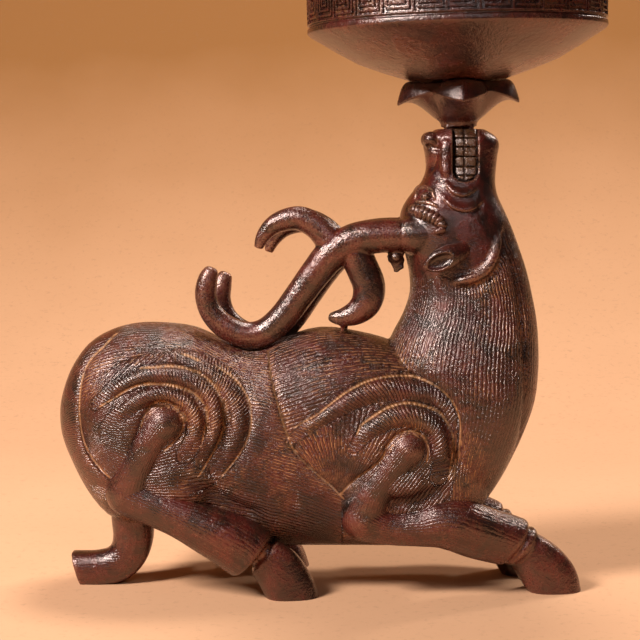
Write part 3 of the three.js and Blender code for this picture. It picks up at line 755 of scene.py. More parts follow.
def body_form():
    """Trunk, neck and head with the rolls of haunch, shoulder, mouth and jowl as one plain form."""
    forms = [along_x("trunk_form", TRUNK), along_z("neck_form", NECK)]
    for side in (1, -1):
        for part in (HAUNCH, SHOULDER, THIGH_FLESH, ARM_FLESH):
            x, y, z = part["centre"]
            forms.append(ball("muscle", (x, side * y, z), part["radii"]))
        for places in HAUNCH_ROLLS + SHOULDER_ROLLS:
            forms.append(roll("spiral_roll", swelled(places), side, RISE["spiral"], ends=SPIRAL_ENDS))
        for places in MOUTH_ROLLS:
            forms.append(roll("mouth_roll", places, side, RISE["mouth"], steps=3, sides=16))
        forms.append(roll("lip_ridge", LIP_RIDGE, side, RISE["lip"], steps=3, sides=16))
        forms.append(roll("jowl", JOWL, side, RISE["jowl"], steps=3, sides=12))
        forms.append(limb("antler_root", ANTLER_ROOT, side))
        x, y, z = NOSE_BALL["place"]
        forms.append(ball("nose_ball", (x, side * y, z), NOSE_BALL["radii"], 24))
    return fuse("body", forms, VOXEL["body"], smooth=2)


def refine_head(obj):
    """Splits the mesh of the face once more, so that it can be carved finely."""
    pick_only(obj)
    bpy.ops.object.mode_set(mode="EDIT")
    mesh = bmesh.from_edit_mesh(obj.data)
    for face in mesh.faces:
        _, y, z = face.calc_center_median() / MM
        face.select_set(z > FACE["low"] and abs(y) > FACE["inner"])
    bmesh.update_edit_mesh(obj.data)
    bpy.ops.mesh.subdivide(number_cuts=1)
    bpy.ops.object.mode_set(mode="OBJECT")
    pick_only(obj)
    bpy.ops.object.shade_smooth()


def groove(near, kind):
    """Depth of a sharp groove along a line at each point."""
    depth, width, run = CUTS[kind]
    return depth * near.fade(run) * cusp(near.far, width)


def carve_flank(flat):
    """The carved lines of the flank: how far they move each point, and how far away the next line is."""
    move = np.zeros(len(flat))
    seam = np.full(len(flat), float(SEAM_REACH))
    lines = [(line, "crease") for line in CREASES]
    lines += [(HAUNCH_KNOB, "haunch_knob"), (SHOULDER_KNOB, "shoulder_knob")]
    lines += [(MANTLE, "mantle"), (TAIL_BAND, "tail_band")]
    for line, kind in lines:
        near = Follow(flat, line)
        move -= groove(near, kind)
        closer = np.abs(near.offset) < np.abs(seam)
        seam[closer] = near.offset[closer]
    for line in (FORE_CREVICE, HIND_CREVICE):
        near = Follow(flat, line)
        move -= CREVICE["depth"] * near.fade(CREVICE["fade"]) * bump(near.far, CREVICE["width"])
    return move, seam


def carve_head(flat):
    """How far nostril, creases and eye socket move each point of the head."""
    nostril = Follow(flat, NOSTRIL)
    move = -NOSTRIL_CUT["depth"] * bump(nostril.far, NOSTRIL_CUT["width"])
    lines = [(NOSE_CREASE, "nose")]
    lines += [(line, "mouth") for line in MOUTH_CREASES]
    lines += [(THROAT_STRIP, "throat"), (JOWL_EDGE, "jowl")]
    for line, kind in lines:
        move -= groove(Follow(flat, line), kind)
    away = (flat - EYE_SOCKET["place"]) / EYE_SOCKET["radii"]
    return move - EYE_SOCKET["depth"] * bump(np.hypot(*away.T), EYE_SOCKET["width"])


def carve_mouth(flat):
    """The open side of the mouth with its rounded corner: the move of each point, and the teeth in it."""
    x, z = flat.T
    middle = (MOUTH["left"] + MOUTH["right"]) / 2
    half = (MOUTH["right"] - MOUTH["left"]) / 2
    below = np.maximum(0, MOUTH["turn"] - z) / MOUTH["round"]
    away = (np.hypot((x - middle) / half, below) - 1) * half
    opened = 1 - step_up(away, -MOUTH["edge"], MOUTH["edge"])
    gum = np.minimum.reduce([np.abs(z - row) for row in TEETH_ROWS] + [np.abs(x - TEETH_SPLIT)])
    tooth = step_up(gum, *TOOTH_EDGE) * step_up(-away, *TOOTH_MARGIN)
    floor = np.interp(x, [MOUTH["left"], MOUTH["right"]], [MOUTH["deep"], MOUTH["shallow"]])
    return opened * (tooth - floor), opened * tooth


def line_x(line, z):
    """The x of an upright line at each height."""
    line = sorted(line, key=lambda place: place[1])
    return np.interp(z, [place[1] for place in line], [place[0] for place in line])


def fan(x, z, centre, radius):
    """Numbers the lines that spread from a centre, as far apart as hair lines at a radius."""
    return np.arctan2(z - centre[1], x - centre[0]) * radius / PITCH


def in_patch(x, z, patch):
    """Which points lie in an oval patch."""
    (cx, cz), (rx, rz) = patch["centre"], patch["radii"]
    return ((x - cx) / rx) ** 2 + ((z - cz) / rz) ** 2 < 1


def hair_lines(points):
    """Numbers the cast hair lines over trunk and neck, and gives how deep they are cut."""
    x, y, z = points.T
    flat = points[:, [0, 2]]
    girth = np.arctan2(z - GIRTH["height"], np.abs(y)) * GIRTH["radius"]
    behind = x - RUMP_CLIMB["x"]
    rear = girth + RUMP_CLIMB["slope"] * (behind + np.hypot(behind, RUMP_CLIMB["bend"]))
    climb = MANTLE_CLIMB["slope"] + MANTLE_CLIMB["gain"] * (MANTLE_CLIMB["height"] - z)
    ahead = x > line_x(MANTLE, z)
    phase = np.where(ahead, (girth - x * climb) / WIDE_PITCH, rear / PITCH)

    on_hip = (x < HIP["front"]) & (x > HIP["rear"]) & in_patch(x, z, HIP)
    on_hip &= Follow(flat, CREASES[2]).offset < 0
    left_hip = x < line_x(HAUNCH_KNOB[:5] + [(-74, 46)], z)
    spread_hair = np.where(left_hip, fan(x, z, **REAR_FAN), fan(x, z, **FRONT_FAN))
    phase = np.where(on_hip, spread_hair, phase)

    under = ahead & in_patch(x, z, ARMPIT) & (Follow(flat, CREASES[3]).offset < 0)
    phase = np.where(under, fan(x, z, **ARMPIT_FAN), phase)
    arm = Follow(flat, UPPER_ARM_SIDE)
    phase = np.where(under & (x > line_x(UPPER_ARM_SIDE, z)), arm.offset / PITCH, phase)

    for places in HAUNCH_ROLLS + SHOULDER_ROLLS:
        pitch = PITCH if places in HAUNCH_ROLLS else WIDE_PITCH
        near = Follow(flat, places)
        shares = np.linspace(0, 1, len(places))
        width = np.interp(near.along / near.length, shares, [place[2] for place in places])
        slanted = (near.along + ROLL_SLANT * near.offset) / pitch
        phase = np.where(near.far < width * ROLL_REACH, slanted, phase)

    _, back, front, half = between(NECK, z)
    way_round = np.arctan2(np.abs(y) / half, (2 * x - back - front) / (front - back))
    on_neck = (x > line_x(NECK_EDGE, z)) | (z > NECK_HAIR["low"])
    phase = np.where(on_neck, way_round * NECK_HAIR["radius"] / WIDE_PITCH, phase)

    depth = 1 - step_up(z - np.interp(x, *zip(*JOWL_FOOT)), -0.5, 1.5)
    band = (x < line_x(TAIL_BAND, z)) & (z > BAND_HAIR["low"]) & (x < BAND_HAIR["front"])
    return phase, np.where(band, BAND_HAIR["depth"], depth)


def carved_body():
    """The whole beast but for its limbs, with its carved lines, its mouth and the marks for the finish."""
    obj = body_form()
    refine_head(obj)
    points, normals = points_of(obj), normals_of(obj)
    flat = points[:, [0, 2]]
    facing = step_up(np.abs(normals[:, 1]), *FLANK_TURN)
    move, seam = carve_flank(flat)
    move *= facing
    head = (points[:, 2] > HEAD["low"]) | (points[:, 0] > HEAD["front"])
    move[head] += carve_head(flat[head]) * facing[head]
    moved = points + normals * move[:, None]

    face = (points[:, 2] > CHEEK["low"]) & (points[:, 0] > CHEEK["back"])
    cheek = step_up(np.abs(points[face, 1]), *CHEEK["margin"])
    mouth, teeth = carve_mouth(flat[face])
    moved[face, 1] += np.sign(points[face, 1]) * mouth * cheek
    set_points(obj, moved)

    phase, depth = hair_lines(moved)
    mark_surface(obj, phase, depth, np.where(facing > 0.5, seam, SEAM_REACH))
    # The gap marks the deep recess of the mouth, where the finish paints shade in the dark patina colour
    tooth, gap = np.zeros(len(points)), np.zeros(len(points))
    tooth[face] = teeth * cheek
    gap[face] = (mouth < -MOUTH["gap"]) * cheek
    store(obj, "tooth", tooth)
    store(obj, "gap", gap)
    return obj


def halve(obj, name, keep_front):
    """A copy of the body on one side of the collar joint, closed at the joint."""
    half = copy_of(obj)
    half.name = name
    half.data.name = name
    slope = math.radians(COLLAR["slope"])
    normal = Vector((math.sin(slope), 0, math.cos(slope)))
    slice_off(half, COLLAR["point"], -normal if keep_front else normal)
    return half


def face_details(side):
    """Brow with its ribs, eye and lids, each laid on the head."""
    x, z = EYE["place"]
    radius = EYE["radius"]
    centre = np.array((x, flank(x, z), z)) + outward(x, z) * (EYE["rise"] - radius * EYE["sunk"])
    return [
        roll("brow", BROW, side, RISE["brow"], steps=14, sides=20, rib=BROW_RIB),
        roll("upper_lid", UPPER_LID, side, RISE["upper_lid"], steps=5, sides=12),
        roll("lower_lid", LOWER_LID, side, RISE["lower_lid"], steps=5, sides=12),
        ball("eye", centre * (1, side, 1), (radius, radius, radius * EYE["flat"]), 32),
    ]


def neck_and_head(whole):
    obj = halve(whole, "neck_and_head", True)
    cut(obj, block("socket", SOCKET["low"], SOCKET["high"]), "FAST")
    details = join("face", [detail for side in (1, -1) for detail in face_details(side)])
    mark_surface(details)
    soften(details, 70)
    obj = join("neck_and_head", [obj, details])
    soften(obj, 60)
    return obj


def trunk(whole):
    obj = halve(whole, "trunk", False)
    cut(obj, block("seat", SEAT["low"], SEAT["high"]), "FAST")
    soften(obj, 60)
    return obj


def shank_path(kind, side):
    """The left hooves stand a few millimetres further back and out than the right ones."""
    path, left = kind["shank"], kind["left"]
    if side < 0:
        return path
    share = np.linspace(0, 1, len(path))
    return [(x - left["back"] * t, y + left["out"] * t, z, r) for t, (x, y, z, r) in zip(share, path)]


def coronet_relief(line):
    """The swellings of hoof and shank on both sides of the hoof's edge, and the groove between them."""
    relief = 0
    for height, place, width in (CORONET["hoof"], CORONET["shank"]):
        relief = relief + height * bump(line.offset - place, width)
    depth, width = CORONET["groove"]
    return relief - depth * bump(line.far, width)


def leg(name, kind, side):
    """A folded leg: the upper bone with its knob, the shank and the hoof, turned a little inwards."""
    upper, shank = kind["upper"], shank_path(kind, side)
    step = kind["left"]["back"] if side > 0 else 0
    forms = [limb("upper", upper, side), limb("shank", shank, side)]
    for x, y, z, radius in (upper[0], shank[0]):
        forms.append(ball("knuckle", (x, side * y, z), (radius, radius, radius), 32))
    hoof = along_z("hoof", kind["hoof"], power=HOOF_POWER)
    heel = Vector((kind["heel"], 0, 0)) * MM
    ankle = Vector((kind["heel"] - step, side * shank[-1][1], 0)) * MM
    turn = Matrix.Rotation(-side * math.radians(kind["turn"]), 4, "Z")
    hoof.data.transform(Matrix.Translation(ankle) @ turn @ Matrix.Translation(-heel))
    obj = fuse(name, [*forms, hoof], VOXEL["leg"], smooth=6)
    slice_off(obj, (0, 0, 0), (0, 0, -1))

    points, normals = points_of(obj), normals_of(obj)
    coronet = Follow(points[:, [0, 2]], [(x - step, z) for x, z in kind["coronet"]])
    move = coronet_relief(coronet) * step_up(points[:, 2], 2, 6)
    points = points + normals * move[:, None]
    set_points(obj, points)
    above_hoof = step_up(-coronet.offset, 1, 4)
    depth = LEG_HAIR["depth"] * above_hoof * step_up(points[:, 2], 6, 10)
    mark_surface(obj, leg_hair(points, kind, side), depth)
    soften(obj)
    return obj


def leg_hair(points, kind, side):
    """Hair lines that run along the bones of a leg."""
    flat = points[:, [0, 2]]
    phase = np.zeros(len(points))
    best = np.full(len(points), 1e9)
    for path in (kind["upper"], shank_path(kind, side)):
        near = Follow(flat, [(x, z) for x, y, z, radius in path])
        share = np.linspace(0, 1, len(path))
        middle = np.interp(near.along / near.length, share, [place[1] for place in path])
        way_round = np.arctan2(near.offset, np.abs(points[:, 1]) - middle)
        closer = near.far < best
        best[closer] = near.far[closer]
        phase[closer] = way_round[closer] * LEG_HAIR["girth"] / PITCH
    return phase


def bend_left(path, side):
    """The left antler is bent a little forwards and down, more towards its tips."""
    if side < 0:
        return path
    bent = []
    for x, y, z, radius in path:
        away = FAR_BEND["root"] - x
        bent.append((x + FAR_BEND["x"] * away, y, z - FAR_BEND["z"] * away, radius))
    return bent


def antler(name, side):
    """Beam and two tines, with the ragged stub at the root and the little strut down to the back."""
    paths = [bend_left(path, side) for path in (BEAM, UPPER_TINE, LOWER_TINE)]
    forms = [limb("tine", path, side, steps=5) for path in paths]
    for x, y, z, radius in bend_left(ROOT_STUB, side):
        forms.append(ball("lump", (x, side * y, z), (radius, radius, radius), 16))
    forms.append(limb("strut", bend_left(STRUT, side), side, sides=12))
    obj = fuse(name, forms, VOXEL["antler"], smooth=2)
    mark_surface(obj)
    return obj


def ear(name, side):
    """A leaf-shaped ear with a cup pressed into its outer face."""
    obj = fuse(name, [limb("leaf", EAR, side, flat=EAR_THINNESS)], VOXEL["ear"], smooth=2)
    points, normals = points_of(obj), normals_of(obj)
    (cx, cz), (long_radius, short_radius) = EAR_CUP["centre"], EAR_CUP["radii"]
    x, z = points[:, 0] - cx, points[:, 2] - cz
    tilt = math.radians(EAR_CUP["tilt"])
    along = (x * math.cos(tilt) + z * math.sin(tilt)) / long_radius
    across = (z * math.cos(tilt) - x * math.sin(tilt)) / short_radius
    cup = np.clip(1 - np.hypot(along, across) ** 3, 0, 1)
    facing = step_up(side * normals[:, 1], *EAR_TURN)
    points[:, 1] -= side * EAR_CUP["depth"] * facing * cup
    set_points(obj, points)
    mark_surface(obj)
    return obj


def tail(name):
    """The curled tail, cut flat at its end and where it stands on the ground."""
    curl = limb("curl", TAIL, 1, power=2.4)
    slice_off(curl, TAIL_END["point"], TAIL_END["normal"])
    obj = fuse(name, [curl], VOXEL["tail"], smooth=9)
    slice_off(obj, (0, 0, 0), (0, 0, -1))
    points = points_of(obj)
    near = Follow(points[:, [0, 2]], TAIL_LINE)
    way_round = np.arctan2(near.offset, np.abs(points[:, 1]))
    mark_surface(obj, way_round * TAIL_HAIR["girth"] / PITCH, TAIL_HAIR["depth"])
    soften(obj)
    return obj


# Bowl unit

def stand_on_muzzle(obj):
    """Moves a piece from the bowl's own frame to its tilted place on the muzzle."""
    tilt = Matrix.Rotation(math.radians(STEM_TILT), 4, "Y")
    obj.data.transform(Matrix.Translation(Vector(STEM_TOP) * MM) @ tilt)
    return obj


def calyx_ring(radius, height, lobe, rise, sides=96):
    """A level ring with four pointed lobes."""
    turn = 8 * np.arange(sides) / sides
    petal = np.abs(turn % 2 - 1)
    reach = radius * (1 - lobe * (1 - petal))
    angle = math.pi * turn / 4
    return np.column_stack((reach * np.cos(angle), reach * np.sin(angle), height + rise * petal))


def calyx_stem(name):
    """The petalled stem with the square tang that sits in the muzzle."""
    petals = loft("petals", [calyx_ring(*row) for row in smooth_rows(CALYX, 4)])
    half = TANG["half"]
    tang = block("tang", (-half, -half, TANG["low"]), (half, half, TANG["high"]))
    obj = fuse(name, [petals, tang], VOXEL["stem"], smooth=1)
    mark_surface(stand_on_muzzle(obj))
    return obj


def fret_bar(low, high):
    """One raised bar of the fret, from a low to a high corner of run and height, bent round the bowl."""
    obj = add(bpy.ops.mesh.primitive_cube_add, size=1)
    corners = read(obj.data.vertices, "co", 3) + 0.5
    half = FRET["half"]
    run = low[0] - half + corners[:, 0] * (high[0] - low[0] + 2 * half)
    rise = FRET["base"] + low[1] - half + corners[:, 2] * (high[1] - low[1] + 2 * half)
    radius = np.where(corners[:, 1] > 0.5, FRET["top"], FRET["floor"])
    angle = run / BOWL_RADIUS
    set_points(obj, np.column_stack((radius * np.cos(angle), radius * np.sin(angle), rise)))
    return obj


def fret_band(name):
    """Key fret round the bowl: one unit is built of bars and copied round."""
    strokes = [*zip(FRET_SPIRAL, FRET_SPIRAL[1:]), FRET_DIVIDER]
    bars = []
    for start, end in strokes:
        low = [min(pair) for pair in zip(start, end)]
        high = [max(pair) for pair in zip(start, end)]
        bars.append(fret_bar(low, high))
    unit = join("fret_unit", bars)
    copies = []
    for i in range(FRET["units"]):
        copy = copy_of(unit)
        turn = math.radians(FRET["start"]) + 2 * math.pi * i / FRET["units"]
        copy.data.transform(Matrix.Rotation(turn, 4, "Z"))
        copies.append(copy)
    bpy.data.objects.remove(unit)
    obj = join(name, copies)
    edit_all(obj)
    close_edit(face_outwards=True)
    return obj


def bowl(name):
    """The shallow bowl, turned from one profile, with the fret laid on the ground of its band."""
    inner = BOWL_RADIUS - BOWL_WALL
    ground = FRET["floor"] + FRET["sunk"]
    profile = [
        (0, 15.7), (8, 15.9), (17.3, 17.1), (27.6, 20.6), (35.4, 23.6), (43.2, 28), (48, 31),
        (51.9, 33.3), (BOWL_RADIUS, 34.4), (BOWL_RADIUS - 0.1, 36), (ground, 36.4), (ground, 37),
        (FRET["top"], 37.15), (FRET["top"], 37.65), (ground, 37.8), (ground, 48.6),
        (BOWL_RADIUS - 0.1, 49), (BOWL_RADIUS, RIM), (inner, RIM), (inner, 38), (42, 29.6), (30, 24),
        (14, 19.2), (0, 19.2),
    ]
    obj = turned(name, profile, steps=160)
    modify(obj, "BEVEL", width=0.2 * MM, segments=2, limit_method="ANGLE", angle_limit=math.radians(28))
    obj = join(name, [obj, fret_band("fret")])
    mark_surface(stand_on_muzzle(obj))
    soften(obj, 35)
    return obj


def hill_radius(height):
    """Radius of the plain hill at a height over the lid's base."""
    share = np.clip(np.asarray(height) / HILL["height"], 0, 1)
    return HILL["foot"] * (1 - share ** HILL["bulge"]) ** HILL["slope"] + HILL["top"]


def peak(tier, angle):
    """A pointed peak with a sharp spine that stands off the hill."""
    turn = np.array(Matrix.Rotation(angle, 3, "Z"))
    rings = []
    for rise, wide, stand, depth in smooth_rows(PEAK, 4):
        z = tier["base"] + rise * tier["height"]
        centre = (float(hill_radius(z)) + stand - depth, 0, LID_BASE + z)
        half = tier["width"] * wide / 2
        rings.append(ring(centre, X_AXIS, Y_AXIS, depth, half, PEAK_POWER, 16) @ turn.T)
    return loft("peak", rings)


def strata(points):
    """Rock lines that follow the outline of each peak, in the bowl's own frame."""
    x, y, z = points.T
    angle = np.arctan2(y, x)
    height = z - LID_BASE
    phase = height / STRATA["pitch"]
    depth = np.full(len(points), STRATA["plain"])
    done = np.hypot(x, y) - hill_radius(height) < PEAK_OUTLINE["stand"]
    for tier in TIERS:
        step = 2 * math.pi / tier["count"]
        off = np.abs((angle - tier["turn"] * step + step / 2) % step - step / 2) * np.hypot(x, y)
        rise = (height - tier["base"]) / tier["height"]
        taper = PEAK_OUTLINE["foot"] - PEAK_OUTLINE["taper"] * np.clip(rise, 0, 1) ** 2
        reach = tier["width"] * PEAK_OUTLINE["half"] * taper
        here = ~done & (rise < PEAK_OUTLINE["foot"]) & (off < reach)
        climb = (height - tier["base"] + STRATA["climb"] * off) / STRATA["pitch"]
        phase = np.where(here, climb, phase)
        depth = np.where(here, 1.0, depth)
        done |= here
    return phase, depth


def lid_mountain(name):
    """A hollow hill with tiers of peaks, a smoke hole between each two of them, and a spigot below."""
    spigot = BOWL_RADIUS - BOWL_WALL - SPIGOT["gap"]
    bore = spigot - LID_WALL
    foot = LID_BASE - SPIGOT["depth"]
    outside = [(float(hill_radius(height)), LID_BASE + height) for height in HILL_OUTSIDE]
    inside = [(float(hill_radius(height)) - LID_WALL, LID_BASE + height) for height in HILL_INSIDE]
    profile = [
        (bore, foot), (spigot, foot), (spigot, LID_BASE), (BOWL_RADIUS, LID_BASE),
        (BOWL_RADIUS, LID_BASE + LID_EDGE), *outside, (0, LID_BASE + HILL["crown"]),
        (0, LID_BASE + HILL["vault"]), *inside, (bore, LID_BASE - SPIGOT["bevel"]), (bore, foot),
    ]
    forms = [turned("hill", profile)]
    holes = []
    for tier in TIERS:
        for i in range(tier["count"]):
            forms.append(peak(tier, 2 * math.pi * (i + tier["turn"]) / tier["count"]))
            holes.append(smoke_hole(tier, 2 * math.pi * (i + tier["turn"] + 0.5) / tier["count"]))
    forms.append(turned("summit", [(radius, LID_BASE + height) for radius, height in SUMMIT], 24))
    obj = fuse(name, forms, VOXEL["lid"], smooth=1)
    cut(obj, join("holes", holes))
    phase, depth = strata(points_of(obj))
    mark_surface(stand_on_muzzle(obj), phase, depth)
    return obj


def smoke_hole(tier, angle):
    """A cutter for one smoke hole between two peaks."""
    radius, length = HOLE["radius"] * MM, HOLE["length"] * MM
    hole = add(bpy.ops.mesh.primitive_cylinder_add, vertices=20, radius=radius, depth=length)
    height = tier["base"] + HOLE["rise"]
    out = Matrix.Translation(Vector((float(hill_radius(height)), 0, LID_BASE + height)) * MM)
    tall = Matrix.Diagonal((1, 1, HOLE["stretch"], 1)) @ Matrix.Rotation(math.pi / 2, 4, "Y")
    hole.data.transform(Matrix.Rotation(angle, 4, "Z") @ out @ tall)
    return hole


# Finishes

def new_socket(tree, name, kind, way, value=None):
    socket = tree.interface.new_socket(name=name, in_out=way, socket_type=kind)
    if value is not None:
        socket.default_value = value
    return socket


def feed(tree, value, socket):
    if hasattr(value, "is_output"):
        tree.links.new(value, socket)
    else:
        socket.default_value = value


def mix_colour(tree, factor, first, second):
    node = tree.nodes.new("ShaderNodeMix")
    node.data_type = "RGBA"
    for value, socket in ((factor, node.inputs[0]), (first, node.inputs[6]), (second, node.inputs[7])):
        feed(tree, value, socket)
    return node.outputs[2]


def calculate(tree, operation, *values):
    node = tree.nodes.new("ShaderNodeMath")
    node.operation = operation
    for value, socket in zip(values, node.inputs):
        feed(tree, value, socket)
    return node.outputs[0]


def product(tree, *values):
    result = values[0]
    for value in values[1:]:
        result = calculate(tree, "MULTIPLY", result, value)
    return result


def noise_field(tree, where, scale, detail, rough=0.55, distortion=0.0):
    node = tree.nodes.new("ShaderNodeTexNoise")
    node.inputs["Scale"].default_value = scale
    node.inputs["Detail"].default_value = detail
    node.inputs["Roughness"].default_value = rough
    node.inputs["Distortion"].default_value = distortion
    tree.links.new(where, node.inputs["Vector"])
    return node.outputs["Fac"]


def spread(tree, value, low, high):
    """Nought at low, one at high, even between them."""
    node = tree.nodes.new("ShaderNodeMapRange")
    node.inputs["From Min"].default_value = low
    node.inputs["From Max"].default_value = high
    tree.links.new(value, node.inputs["Value"])
    return node.outputs["Result"]


def attribute(tree, name):
    node = tree.nodes.new("ShaderNodeAttribute")
    node.attribute_name = name
    return node.outputs["Fac"]


DARK_PATINA = (0.01, 0.0034, 0.0026, 1)
BROWN_PATINA = (0.046, 0.0102, 0.0066, 1)
RED_PATINA = (0.11, 0.0066, 0.0048, 1)
BARE_BRONZE = (0.46, 0.25, 0.15, 1)
OCHRE = (0.58, 0.27, 0.095, 1)
TOOTH = (0.085, 0.038, 0.016, 1)
SHEEN = {"Specular IOR Level": 1, "Specular Tint": (1, 0.84, 0.77, 1), "IOR": 1.6}
# How metallic the patina and the bare bronze are
METAL = (0.1, 0.9)
# Noises of the patina: scale, detail, roughness, distortion
NOISES = {
    "broad": (38, 5, 0.6), "patch": (120, 6, 0.65, 0.6), "speck": (520, 4, 0.65), "grain": (1500, 3, 0.6),
}
HAIR_WAVER = 1.7
# Heights of the surface in millimetres
RELIEF = {"speck": 0.32, "grain": 0.11, "patch": 0.3, "furrow": -0.2, "ridge": 0.12, "seam": -0.2}


def new_material(name, inputs):
    """A material with values for its shader; gives the material, its tree and the shader."""
    material = bpy.data.materials.new(name)
    material.use_nodes = True
    tree = material.node_tree
    shader = tree.nodes["Principled BSDF"]
    for key, value in inputs.items():
        shader.inputs[key].default_value = value
    return material, tree, shader


def cast_bronze_group():
    """Patinated cast bronze: colour, bare metal, roughness and surface height over the piece, and painted
    shade in the mouth.
    """
    tree = bpy.data.node_groups.new("cast_bronze", "ShaderNodeTree")
    for name, value in (("Red", 0.5), ("Ochre", 0.5), ("Wear", 0.5), ("Hair", 1.0), ("Seam", 1.0)):
        new_socket(tree, name, "NodeSocketFloat", "INPUT", value)
    new_socket(tree, "Color", "NodeSocketColor", "OUTPUT")
    for name in ("Bare", "Roughness", "Height"):
        new_socket(tree, name, "NodeSocketFloat", "OUTPUT")
    given = tree.nodes.new("NodeGroupInput").outputs
    result = tree.nodes.new("NodeGroupOutput").inputs
    where = tree.nodes.new("ShaderNodeTexCoord").outputs["Object"]
    broad, patch, speck, grain = [noise_field(tree, where, *values) for values in NOISES.values()]
    hollow = attribute(tree, "hollow")
    edge = attribute(tree, "edge")
    phase = attribute(tree, "hair_phase")
    depth = attribute(tree, "hair_depth")

    # Hair lines: thin furrows with broken stretches, between rounded ridges
    waver = product(tree, calculate(tree, "SUBTRACT", patch, 0.5), HAIR_WAVER)
    turns = product(tree, calculate(tree, "ADD", phase, waver), 2 * math.pi)
    wave = calculate(tree, "MULTIPLY_ADD", calculate(tree, "SINE", turns), 0.5, 0.5)
    hair = product(tree, depth, given["Hair"], spread(tree, speck, 0.3, 0.46))
    furrow = product(tree, spread(tree, wave, 0.55, 0.05), hair)
    inlay = product(tree, spread(tree, wave, 0.24, 0.06), hair)

    # Seams: the thin line at the foot of a crease, where wax and dust have stayed
    way = calculate(tree, "ARCTAN2", attribute(tree, "seam_sin"), attribute(tree, "seam_cos"))
    away = product(tree, calculate(tree, "ABSOLUTE", way), SEAM_REACH / math.pi)
    seam = product(tree, spread(tree, away, 0.5, 0.15), given["Seam"])

    mottle = calculate(tree, "MULTIPLY_ADD", speck, 0.8, patch)
    base = mix_colour(tree, spread(tree, mottle, 0.74, 1.02), DARK_PATINA, BROWN_PATINA)
    red = product(tree, spread(tree, calculate(tree, "MULTIPLY", broad, patch), 0.2, 0.38), given["Red"])
    base = mix_colour(tree, red, base, RED_PATINA)
    ridge = calculate(tree, "MULTIPLY_ADD", product(tree, wave, hair), 0.18, edge)
    rubbed = product(tree, spread(tree, grain, 0.42, 0.62), spread(tree, broad, 0.35, 0.6))
    bare = product(tree, ridge, given["Wear"], rubbed)
    base = mix_colour(tree, bare, base, BARE_BRONZE)
    pocket = calculate(tree, "MAXIMUM", product(tree, hollow, 0.6), inlay)
    ochre = product(tree, pocket, spread(tree, speck, 0.42, 0.58), spread(tree, broad, 0.46, 0.6))
    ochre = calculate(tree, "MAXIMUM", ochre, product(tree, seam, spread(tree, speck, 0.3, 0.5)))
    ochre = product(tree, ochre, given["Ochre"])
    base = mix_colour(tree, ochre, base, OCHRE)
    # Painted shade: the deep recess of the mouth is coloured with the dark patina
    base = mix_colour(tree, attribute(tree, "gap"), base, DARK_PATINA)
    tooth = product(tree, attribute(tree, "tooth"), spread(tree, speck, 0.3, 0.55))
    base = mix_colour(tree, tooth, base, TOOTH)
    tree.links.new(base, result["Color"])
    tree.links.new(bare, result["Bare"])

    dull = calculate(tree, "MULTIPLY_ADD", spread(tree, patch, 0.3, 0.7), 0.14, 0.17)
    dull = calculate(tree, "MULTIPLY_ADD", ochre, 0.3, dull)
    tree.links.new(dull, result["Roughness"])

    fields = {
        "speck": speck, "grain": grain, "patch": patch, "furrow": furrow,
        "ridge": product(tree, wave, hair), "seam": seam,
    }
    rise = 0.0
    for name, field in fields.items():
        rise = calculate(tree, "MULTIPLY_ADD", field, RELIEF[name], rise)
    tree.links.new(rise, result["Height"])
    return tree


def bronze(name, group, red, ochre, wear, hair=1.0, seam=0.0):
    """One bronze of the censer, with its own share of each part of the patina."""
    material, tree, shader = new_material(name, SHEEN)
    finish = tree.nodes.new("ShaderNodeGroup")
    finish.node_tree = group
    for key, value in (("Red", red), ("Ochre", ochre), ("Wear", wear), ("Hair", hair), ("Seam", seam)):
        finish.inputs[key].default_value = value
    relief = tree.nodes.new("ShaderNodeBump")
    relief.inputs["Distance"].default_value = MM
    metal = tree.nodes.new("ShaderNodeMapRange")
    metal.inputs["To Min"].default_value, metal.inputs["To Max"].default_value = METAL
    tree.links.new(finish.outputs["Bare"], metal.inputs["Value"])
    tree.links.new(finish.outputs["Height"], relief.inputs["Height"])
    tree.links.new(finish.outputs["Color"], shader.inputs["Base Color"])
    tree.links.new(metal.outputs["Result"], shader.inputs["Metallic"])
    tree.links.new(finish.outputs["Roughness"], shader.inputs["Roughness"])
    tree.links.new(relief.outputs["Normal"], shader.inputs["Normal"])
    return material


def dress(obj, node, body, material):
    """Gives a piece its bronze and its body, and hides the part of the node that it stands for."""
    obj.data.materials.clear()
    obj.data.materials.append(material)
    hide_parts(node)
    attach(obj, body)


# Studio

COVE = {"near": -0.55, "bend": 0.3, "radius": 0.5, "height": 1.2, "half": 0.9, "steps": 16}
# Painted shade on the cove: heights over which the paper darkens, its lean to the left and its cloudiness
COVE_PAINTED_SHADE = {"low": -0.02, "high": 0.27, "lean": -0.05, "cloud": 0.06}
PALE_FLOOR = (0.78, 0.44, 0.25, 1)
PAINTED_SHADE_WALL = (0.31, 0.135, 0.040, 1)
SPECK = (0.3, 0.15, 0.075, 1)
PAPER = {"Roughness": 0.85, "Specular IOR Level": 0.2}


